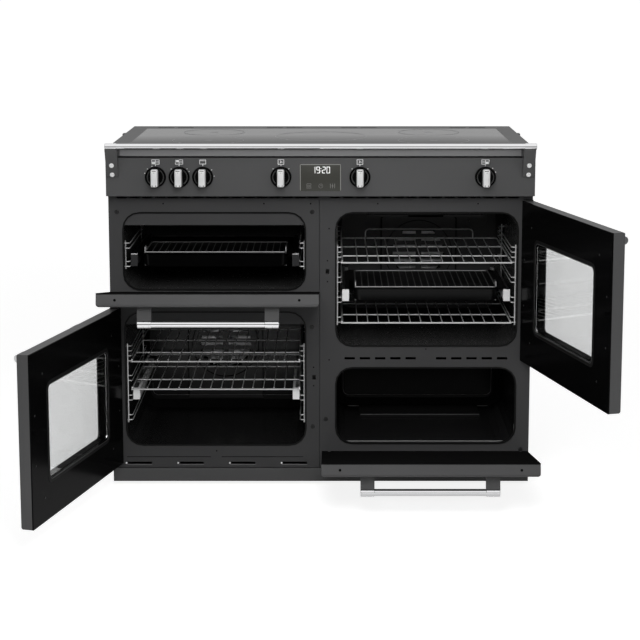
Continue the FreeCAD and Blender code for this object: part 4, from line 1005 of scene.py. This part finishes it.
@dataclass
class OvenFittings:
    """Racks, shelves, grill pans, highlight beads and fan cover lines inside the ovens."""

    left: tuple[float, float] = (-0.515, -0.0375)
    right: tuple[float, float] = (0.0375, 0.515)

    def build(self) -> None:
        """Model the racks, shelves, grill pans, highlight beads and fan cover lines inside the ovens."""
        wires = Rack(self.left, (0.5835, 0.632)).build()
        wires += Rack(self.left, (0.1715, 0.2248, 0.2781, 0.3314, 0.358)).build()
        wires += Rack(self.right, (0.435, 0.4883, 0.5416, 0.5949, 0.6215)).build()
        dress(join(wires), "rack_wires", "cabinet", WIRE_CHROME, ["side_racks"])
        middle_left, middle_right = sum(self.left) / 2, sum(self.right) / 2
        Shelf("shelf_fan_oven_upper", "fan_oven_upper_shelf", middle_left, 0.32475).build()
        Shelf("shelf_fan_oven_lower", "fan_oven_lower_shelf", middle_left, 0.250).build()
        Shelf("shelf_tall_oven_upper", "tall_oven_upper_shelf", middle_right, 0.58825, fence=True).build()
        Shelf("shelf_tall_oven_lower", "tall_oven_lower_shelf", middle_right, 0.42835).build()
        self.build_pans(middle_left, middle_right)
        self.build_highlight_beads()
        self.build_baffles(middle_left, middle_right)

    def build_highlight_beads(self) -> None:
        """Model light grey wires along the liners' pressed edges: painted highlights for the light their
        rounded enamel edges catch.
        """
        back = 0.1388

        def bead(x: Sequence[float], y: float, ends: float, level: float, radius: float,
                 bend: float) -> Piece:
            """Return a level bead between two x whose ends turn up or down."""
            path = [(x[0], y, ends), (x[0], y, level), (x[1], y, level), (x[1], y, ends)]
            return wire(path, radius, bend)

        beads = [
            bead((0.0615, 0.489), back, 0.215, 0.130, 0.0011, 0.018),
            wire([(0.062, 0.1175, 0.1024), (0.489, 0.1175, 0.1024)], 0.0010),
            wire([(0.110, 0.0062, 0.1080), (0.443, 0.0062, 0.1080)], 0.0009),
            bead((0.0386, 0.5139), -0.239, 0.150, 0.1026, 0.0020, 0.052),
            bead((-0.487, -0.071), 0.1378, 0.165, 0.130, 0.0009, 0.018),
            bead((-0.484, -0.0916), back, 0.560, 0.595, 0.0009, 0.018),
        ]
        dress(join(beads), "liner_highlight_beads", "cabinet", PAINTED_HIGHLIGHT_BEAD)

    def build_baffles(self, middle_left: float, middle_right: float) -> None:
        """Model dark lines along the rings and edges pressed into the fan covers: painted shade in their
        creases.
        """
        face = 0.1386
        lines = [hoop(middle_left, face, 0.280, 0.095, 0.0015),
                 hoop(middle_right, face, 0.545, 0.095, 0.0012)]
        for side in (-1, 1):
            x = middle_left + side * 0.107
            lines.append(wire([(x, face, 0.125), (x, face, 0.432)], 0.0013, detail=1))
        lines.append(rounded_plate((middle_right - 0.1085, middle_right + 0.1085), (0.4385, 0.6535),
                                   (face - 0.0012, face + 0.0006), 0.010, 0.0042))
        dress(join(lines), "fan_cover_lines", "cabinet", DARK_AND_PAINTED_SHADE)

    def build_pans(self, middle_left: float, middle_right: float) -> None:
        """Model the grill pans and their trivets."""
        GrillPan("grill_oven", middle_left, 0.607, reach=0.160).build()
        GrillPan("tall_oven", middle_right, 0.514, reach=0.235).build()
        # The slide tabs are painted near-white as the highlight along the top of the shaded grill runners.
        tabs = [block((low, -0.2474, 0.6083), (low + 0.0170, -0.2395, 0.6100)) for low in (-0.4957, -0.0738)]
        dress(soften(join(tabs), 0.0004, 2), "grill_slide_tabs", "grill_oven_pan", PAINTED_HIGHLIGHT_TAB)


@dataclass
class GrillPan:
    """Enamelled pan with a flat rim, and the trivet inside it."""

    oven: str
    centre: float
    rim: float
    near: float = -0.242
    length: float = 0.275
    rim_half: float = 0.212
    half: float = 0.192
    depth: float = 0.036
    lip: float = 0.006
    sheet: float = 0.0012
    wires: int = 20
    reach: float = 0.170

    def build(self) -> None:
        """Model the pan and its trivet."""
        x, top = self.centre, self.rim + 0.0015
        far = self.near + self.length
        body = f"{self.oven}_pan"
        dress(self.tub(x, far, top), f"pan_{self.oven}", body, PAN_ENAMEL,
              [f"grill_pan_{self.oven}"])
        edge = self.half - self.sheet - 0.006
        y0 = self.near + self.lip + self.sheet + 0.006
        y1, z = y0 + self.reach, top + 0.003
        path = [(x - edge, y0, z), (x + edge, y0, z), (x + edge, y1, z), (x - edge, y1, z)]
        parts = [wire(path + path[:1], 0.0020, bend=0.008)]
        pitch = 2 * edge / (self.wires + 1)
        parts.append(repeated(wire([(x - edge + pitch, y0, z), (x - edge + pitch, y1, z)], 0.0012, detail=1),
                              self.wires, (pitch, 0, 0)))
        floor = top - self.depth + self.sheet
        for side in (-1, 1):
            at = x + side * edge
            for y in (y0 + 0.01, y1 - 0.01):
                parts.append(wire([(at, y, z), (at, y, floor)], 0.002, detail=1))
            parts.append(wire([(at, y0 + 0.004, z), (at, y0 + 0.008, z + 0.013), (at, y0 + 0.030, z + 0.013),
                               (at, y0 + 0.034, z)], 0.0018, bend=0.004, detail=1))
        dress(join(parts), f"trivet_{self.oven}", body, TRIVET_WIRE)

    def tub(self, x: float, far: float, top: float) -> Piece:
        """Return the pan, drawn from a rounded plate by insets and extrusions."""
        deselect()
        middle_y = (self.near + far) / 2
        bpy.ops.mesh.primitive_plane_add(size=1, location=(x, middle_y, top - 0.0003))
        pan = bpy.context.object
        pan.scale = (2 * self.rim_half - 0.0006, far - self.near - 0.0006, 1)
        settle(pan)
        apply(pan, "BEVEL", width=0.020, segments=6, affect="VERTICES")
        width_share = (self.half - self.sheet) / self.rim_half
        depth_share = (self.length / 2 - self.lip - self.sheet) / (self.length / 2)
        fall = self.depth - self.sheet - 0.0006

        def draw() -> None:
            """Inset the floor and push it down in three steps."""
            bpy.ops.mesh.extrude_region_move()
            bpy.ops.transform.resize(value=(width_share, depth_share, 1), center_override=(x, middle_y, top))
            for share, shrink in ((0.12, 0.994), (0.76, 0.985), (0.12, 0.975)):
                bpy.ops.mesh.extrude_region_move(TRANSFORM_OT_translate={"value": (0, 0, -fall * share)})
                bpy.ops.transform.resize(value=(shrink, shrink, 1), center_override=(x, middle_y, top))

        edit(pan, lambda centre, normal: True, draw)
        return apply(pan, "SOLIDIFY", thickness=self.sheet * 0.9, offset=-1.0)


@dataclass
class FrontFrames:
    """Bumpers, screws, seams and clips on the front frames."""

    face: float = -0.262

    def build(self) -> None:
        """Model the small pieces of the frames' faces."""
        out = (0.0, -1.0, 0.0)
        bumpers = [(-0.5285, self.face, 0.7233), (-0.0217, self.face, 0.7233), (-0.0230, self.face, 0.4180),
                   (-0.0217, self.face, 0.1495), (0.0130, self.face, 0.1700), (0.5285, self.face, 0.0880)]
        steps = [(0.0, 0.0058), (0.0012, 0.0058), (0.0004, 0.0050), (0.0, 0.0032), (-0.0008, 0.0028)]
        dress(plate_ring(bumpers, out, steps, 20), "door_bumpers", "cabinet", BUMPER)
        screws = [(-0.4079, 0.7444), (-0.1468, 0.7444), (-0.0257, 0.7444), (0.1480, 0.7444), (0.4079, 0.7444),
                  (-0.0188, 0.3100), (-0.0188, 0.2600), (0.0177, 0.5943), (0.0177, 0.5390), (0.0220, 0.6790),
                  (0.2760, 0.3590), (-0.2760, 0.0830), (0.0220, 0.3300)]
        places = [(x, self.face, z) for x, z in screws]
        steps = [(0.0, 0.0019), (0.0003, 0.0019), (0.0002, 0.0012)]
        dress(plate_ring(places, out, steps, 12), "frame_screws", "cabinet", DARK_AND_PAINTED_SHADE)
        seams = [block((x0, self.face - 0.0002, 0.0660), (x1, self.face, 0.0676))
                 for x0, x1 in ((-0.514, -0.2916), (-0.2628, -0.0468))]
        dress(join(seams), "frame_seams", "cabinet", DARK_AND_PAINTED_SHADE)
        ends = [-0.51575 + 0.137 * step for step in range(4)]
        clips = [(x + 0.0005, self.face, 0.050) for x in ends]
        dress(plate_ring(clips, out, [(0.0, 0.0026), (0.0010, 0.0024), (0.0004, 0.0014)], 14), "slot_screws",
              "cabinet", PAINTED_LIT_PLATE)
        # The lips take the strip's painted-lit grey.
        lips = [block((x + 0.002, self.face - 0.0002, 0.0452), (x + 0.068, self.face, 0.0465)) for x in ends]
        dress(join(lips), "slot_lips", "cabinet", PAINTED_LIT_STRIP)


@dataclass
class Doors:
    """Handles, window trims and fixings of the four doors."""

    door_front: float = -0.299
    door_back: float = -0.2645
    spans: dict[str, tuple[float, float]] = field(default_factory=lambda: {
        "fan_oven": (-0.5455, -0.00325), "tall_oven": (0.00325, 0.5455),
        "grill_oven": (-0.5455, -0.00325), "slow_oven": (0.00325, 0.5455)})
    heights: dict[str, tuple[float, float]] = field(default_factory=lambda: {
        "fan_oven": (0.054, 0.471), "tall_oven": (0.332, 0.754),
        "grill_oven": (0.481, 0.754), "slow_oven": (0.053, 0.326)})
    side_open: float = 105.2
    drop_open: float = 79.5
    window_half: tuple[float, float] = (0.175, 0.114)
    grip_half: float = 0.174
    handle_stand: float = 0.042
    handle_drop: float = 0.036

    def swing(self, oven: str) -> Matrix:
        """Return the turn from closed to the open rest pose."""
        if oven in ("fan_oven", "tall_oven"):
            side = -1 if oven == "fan_oven" else 1
            pivot, axis, turn = Vector((side * 0.538, -0.280, 0)), "Z", side * self.side_open
        else:
            pivot, axis, turn = Vector((0, -0.292, self.heights[oven][0] + 0.009)), "X", self.drop_open
        return (Matrix.Translation(pivot) @ Matrix.Rotation(math.radians(turn), 4, axis)
                @ Matrix.Translation(-pivot))

    def build(self) -> None:
        """Model each door's handle and fixings."""
        for oven, (left, right) in self.spans.items():
            _, high = self.heights[oven]
            self.build_handle(oven, (left + right) / 2, high - self.handle_drop)
            if oven in ("fan_oven", "tall_oven"):
                self.build_window(oven, (left + right) / 2, sum(self.heights[oven]) / 2)
            else:
                self.build_edge_marks(oven, left, right, high)

    def place(self, piece: Piece, oven: str, name: str, slot: str, finish: Finish) -> None:
        """Turn a piece modelled on the closed door into the open pose and dress it."""
        dress(turn_into_place(piece, self.swing(oven)), f"{name}_{oven}", f"{oven}_door", finish)

    def build_window(self, oven: str, x: float, z: float) -> None:
        """Model the black spacer between the panes, a grey line round the window that is a painted highlight
        on its edge, and the lining's screws.
        """
        wide, tall = self.window_half
        spacer = rounded_plate((x - wide + 0.0002, x + wide - 0.0002), (z - tall + 0.0002, z + tall - 0.0002),
                               (-0.2923, -0.2724), 0.0128, 0.0012)
        self.place(spacer, oven, "window_spacer", "black_plastic", DARK_AND_PAINTED_SHADE)
        border = rounded_plate((x - wide - 0.0105, x + wide + 0.0105), (z - tall - 0.0105, z + tall + 0.0105),
                               (self.door_back, -0.2639), 0.0200, 0.0105)
        self.place(border, oven, "window_seal", "seal_rubber", RUBBER)
        # A grey line round the window: painted highlight on its edge.
        edge = rounded_plate((x - wide - 0.0020, x + wide + 0.0020), (z - tall - 0.0020, z + tall + 0.0020),
                             (-0.2642, -0.2635), 0.0150, 0.0012)
        self.place(edge, oven, "window_edge", "zinc_steel", PAINTED_HIGHLIGHT_EDGE)
        corners = ((0.205, 0.150), (0.250, 0.060))
        screws = [(x + across * out, self.door_back, z + up * height)
                  for out, height in corners for across in (-1, 1) for up in (-1, 1)]
        heads = plate_ring(screws, (0, 1, 0), [(0.0, 0.0026), (0.0006, 0.0024), (0.0003, 0.0014)], 14)
        self.place(heads, oven, "lining_screws", "black_plastic", PLASTIC)

    def build_edge_marks(self, oven: str, left: float, right: float, high: float) -> None:
        """Model the two screws in a drop-down door's upper edge."""
        middle = (self.door_front + self.door_back) / 2
        places = [(left + 0.046, middle, high), (right - 0.047, middle, high)]
        steps = [(0.0, 0.0034), (0.0002, 0.0034), (0.0002, 0.0022), (0.0, 0.0012)]
        heads = plate_ring(places, (0, 0, 1), steps, 16)
        self.place(heads, oven, "edge_screws", "black_plastic", DARK_AND_PAINTED_SHADE)

    def build_handle(self, oven: str, x: float, z: float) -> None:
        """Model one handle: bar, grooved caps and their ends."""
        y = self.door_front - self.handle_stand
        end, cap, radius, wide = self.grip_half, 0.035, 0.0087, 0.0105
        groove = 0.0011
        first = [(0.0, wide - 0.0012), (0.0012, wide), (0.0140, wide), (0.0, wide - groove),
                 (0.0016, wide - groove), (0.0, wide), (cap - 0.0230, wide), (0.0, wide - groove),
                 (0.0014, wide - groove), (0.0, wide), (0.0038, wide), (0.001, wide - 0.0008), (0.0, radius)]
        advance, radii = [step for step, _ in first], [r for _, r in first]
        back = list(zip(advance[:0:-1], radii[-2::-1]))
        middle = 2 * end - 2 * sum(advance)
        bar = turned((x - end, y, z), (1, 0, 0), first + [(middle, radius)] + back, 40)
        dress(turn_into_place(bar, self.swing(oven)), f"handle_{oven}", f"{oven}_door",
              CHROME, [f"door_{oven}_handle"])


# --------------------------------------------------------------------- stage
GLOSSY = ("Is Glossy Ray",)
SEEN = ("Is Camera Ray", "Is Transmission Ray")


@dataclass
class Stage:
    """Camera, floor, soft lamps and white surroundings."""

    camera_place: Triple = (0.028, -4.400, 1.334)
    pitch: float = 8.376
    lens: float = 90.77
    shift: tuple[float, float] = (-0.0178, -0.17)
    sensor: float = 36.0
    clip_end: float = 600.0
    floor_height: float = -0.010
    floor_size: float = 800.0
    floor_lift: tuple[float, float] = (0.85, 0.95)
    fill: float = 0.16
    dim: float = 0.04
    rear: float = 0.45

    def build(self) -> None:
        """Build the whole stage."""
        self.build_camera()
        self.build_floor()
        self.build_world()
        self.build_lamps()
        bpy.context.scene.view_settings.view_transform = "Standard"

    def build_camera(self) -> None:
        """Place the camera at the photograph's viewpoint."""
        deselect()
        bpy.ops.object.camera_add(location=self.camera_place, rotation=(math.radians(90 - self.pitch), 0, 0))
        camera = bpy.context.object
        camera.data.lens, camera.data.sensor_width = self.lens, self.sensor
        camera.data.shift_x, camera.data.shift_y = self.shift
        camera.data.clip_end = self.clip_end
        bpy.context.scene.camera = camera

    def joined_paths(self, tree: bpy.types.NodeTree, kinds: Sequence[str]) -> bpy.types.NodeSocket:
        """Return a socket that is 1 for any of the given kinds of ray."""
        nodes, links = tree.nodes, tree.links
        path = nodes.new("ShaderNodeLightPath")
        socket = path.outputs[kinds[0]]
        for kind in kinds[1:]:
            either = nodes.new("ShaderNodeMath")
            either.operation = "MAXIMUM"
            links.new(socket, either.inputs[0])
            links.new(path.outputs[kind], either.inputs[1])
            socket = either.outputs[0]
        return socket

    def by_ray(self, tree: bpy.types.NodeTree, kinds: Sequence[str], seen: float | bpy.types.NodeSocket,
               otherwise: float | bpy.types.NodeSocket) -> bpy.types.NodeSocket:
        """Return a socket with one value for the given kinds of ray and another for the rest."""
        mix = tree.nodes.new("ShaderNodeMix")
        tree.links.new(self.joined_paths(tree, kinds), mix.inputs[0])
        for socket, value in ((mix.inputs[2], otherwise), (mix.inputs[3], seen)):
            if isinstance(value, float):
                socket.default_value = value
            else:
                tree.links.new(value, socket)
        return mix.outputs[0]

    def map_range(self, nodes: bpy.types.Nodes, given: Sequence[float],
                  result: Sequence[float]) -> bpy.types.Node:
        """Add a node that maps one span of values to another."""
        node = nodes.new("ShaderNodeMapRange")
        names = ("From Min", "From Max", "To Min", "To Max")
        for name, value in zip(names, (*given, *result)):
            node.inputs[name].default_value = value
        return node

    def build_floor(self) -> None:
        """Lay a plain pale floor that keeps the shadow."""
        deselect()
        bpy.ops.mesh.primitive_plane_add(size=self.floor_size, location=(0, 0, self.floor_height))
        floor = settle(bpy.context.object)
        floor.name = "floor"
        material = bpy.data.materials.new("pale floor")
        material.use_nodes = True
        nodes, links = material.node_tree.nodes, material.node_tree.links
        shader = nodes["Principled BSDF"]
        shader.inputs["Base Color"].default_value = (0.45, 0.45, 0.45, 1.0)
        shader.inputs["Roughness"].default_value = 0.9
        shader.inputs["Specular IOR Level"].default_value = 0.0
        shader.inputs["Emission Color"].default_value = (1.0, 1.0, 1.0, 1.0)
        place, split = nodes.new("ShaderNodeTexCoord"), nodes.new("ShaderNodeSeparateXYZ")
        reach, least = nodes.new("ShaderNodeVectorMath"), nodes.new("ShaderNodeMath")
        reach.operation, least.operation = "LENGTH", "MINIMUM"
        front = self.map_range(nodes, (-2.5, -1.6), (self.dim, 0.95))
        near = self.map_range(nodes, (-1.2, -0.7), (1.0, 0.35))
        far = self.map_range(nodes, (1.6, 5.0), self.floor_lift)
        links.new(place.outputs["Object"], reach.inputs[0])
        links.new(reach.outputs["Value"], far.inputs["Value"])
        links.new(place.outputs["Object"], split.inputs[0])
        links.new(split.outputs["Y"], front.inputs["Value"])
        links.new(split.outputs["Y"], near.inputs["Value"])
        links.new(front.outputs["Result"], least.inputs[0])
        links.new(near.outputs["Result"], least.inputs[1])
        gloss = self.by_ray(material.node_tree, GLOSSY, least.outputs[0], 0.0)
        clear = self.by_ray(material.node_tree, SEEN, far.outputs["Result"], gloss)
        links.new(clear, shader.inputs["Emission Strength"])
        floor.data.materials.append(material)

    def build_world(self) -> None:
        """Surround the scene with soft light, white to the camera and dimmer near the horizon in gloss."""
        world = bpy.data.worlds.new("studio")
        bpy.context.scene.world = world
        world.use_nodes = True
        nodes, links = world.node_tree.nodes, world.node_tree.links
        background = nodes["Background"]
        background.inputs["Color"].default_value = (1.0, 1.0, 1.0, 1.0)
        place, split = nodes.new("ShaderNodeTexCoord"), nodes.new("ShaderNodeSeparateXYZ")
        sky, high = nodes.new("ShaderNodeMapRange"), nodes.new("ShaderNodeMath")
        sky.interpolation_type = "SMOOTHSTEP"
        sky.inputs["To Max"].default_value = 1.0
        front_to_back = (-0.2, 0.4)
        low = self.map_range(nodes, front_to_back, (0.07, 0.42))
        depth = self.map_range(nodes, front_to_back, (self.dim, self.rear))
        high.inputs[1].default_value = 0.20
        links.new(low.outputs["Result"], high.inputs[0])
        links.new(low.outputs["Result"], sky.inputs["From Min"])
        links.new(high.outputs[0], sky.inputs["From Max"])
        links.new(place.outputs["Generated"], split.inputs[0])
        links.new(split.outputs["Y"], depth.inputs["Value"])
        links.new(split.outputs["Y"], low.inputs["Value"])
        links.new(depth.outputs["Result"], sky.inputs["To Min"])
        links.new(split.outputs["Z"], sky.inputs["Value"])
        gloss = self.by_ray(world.node_tree, GLOSSY, sky.outputs["Result"], self.fill)
        links.new(self.by_ray(world.node_tree, SEEN, 1.0, gloss), background.inputs["Strength"])

    def build_lamps(self) -> None:
        """Hang a broad top lamp, a small front lamp and two weak side lamps."""
        lamps = (("top lamp", (0.0, -1.1, 2.5), 2.4, 24.0), ("front lamp", (0.0, -1.8, 1.35), 0.8, 14.0),
                 ("left lamp", (-3.2, -3.0, 1.9), 2.2, 11.0), ("right lamp", (3.2, -3.0, 1.9), 2.2, 26.0))
        aim = Vector((0.0, -0.1, 0.45))
        for name, place, size, power in lamps:
            deselect()
            turn = (aim - Vector(place)).to_track_quat("-Z", "Y").to_euler()
            bpy.ops.object.light_add(type="AREA", location=place, rotation=turn)
            lamp = bpy.context.object
            lamp.name, lamp.data.shape, lamp.data.size, lamp.data.energy = name, "DISK", size, power
            lamp.visible_glossy = False


def main() -> None:
    """Build every sub-assembly and the stage."""
    logging.basicConfig(level=logging.INFO, format="%(name)s: %(message)s")
    for assembly in (Carcass(), Knobs(), Fascia(), Rail(), Hob(), FrontFrames(), OvenFittings(), Doors(),
                     Stage()):
        LOG.info("building %s", type(assembly).__name__)
        assembly.build()


if __name__ == "__main__":
    main()
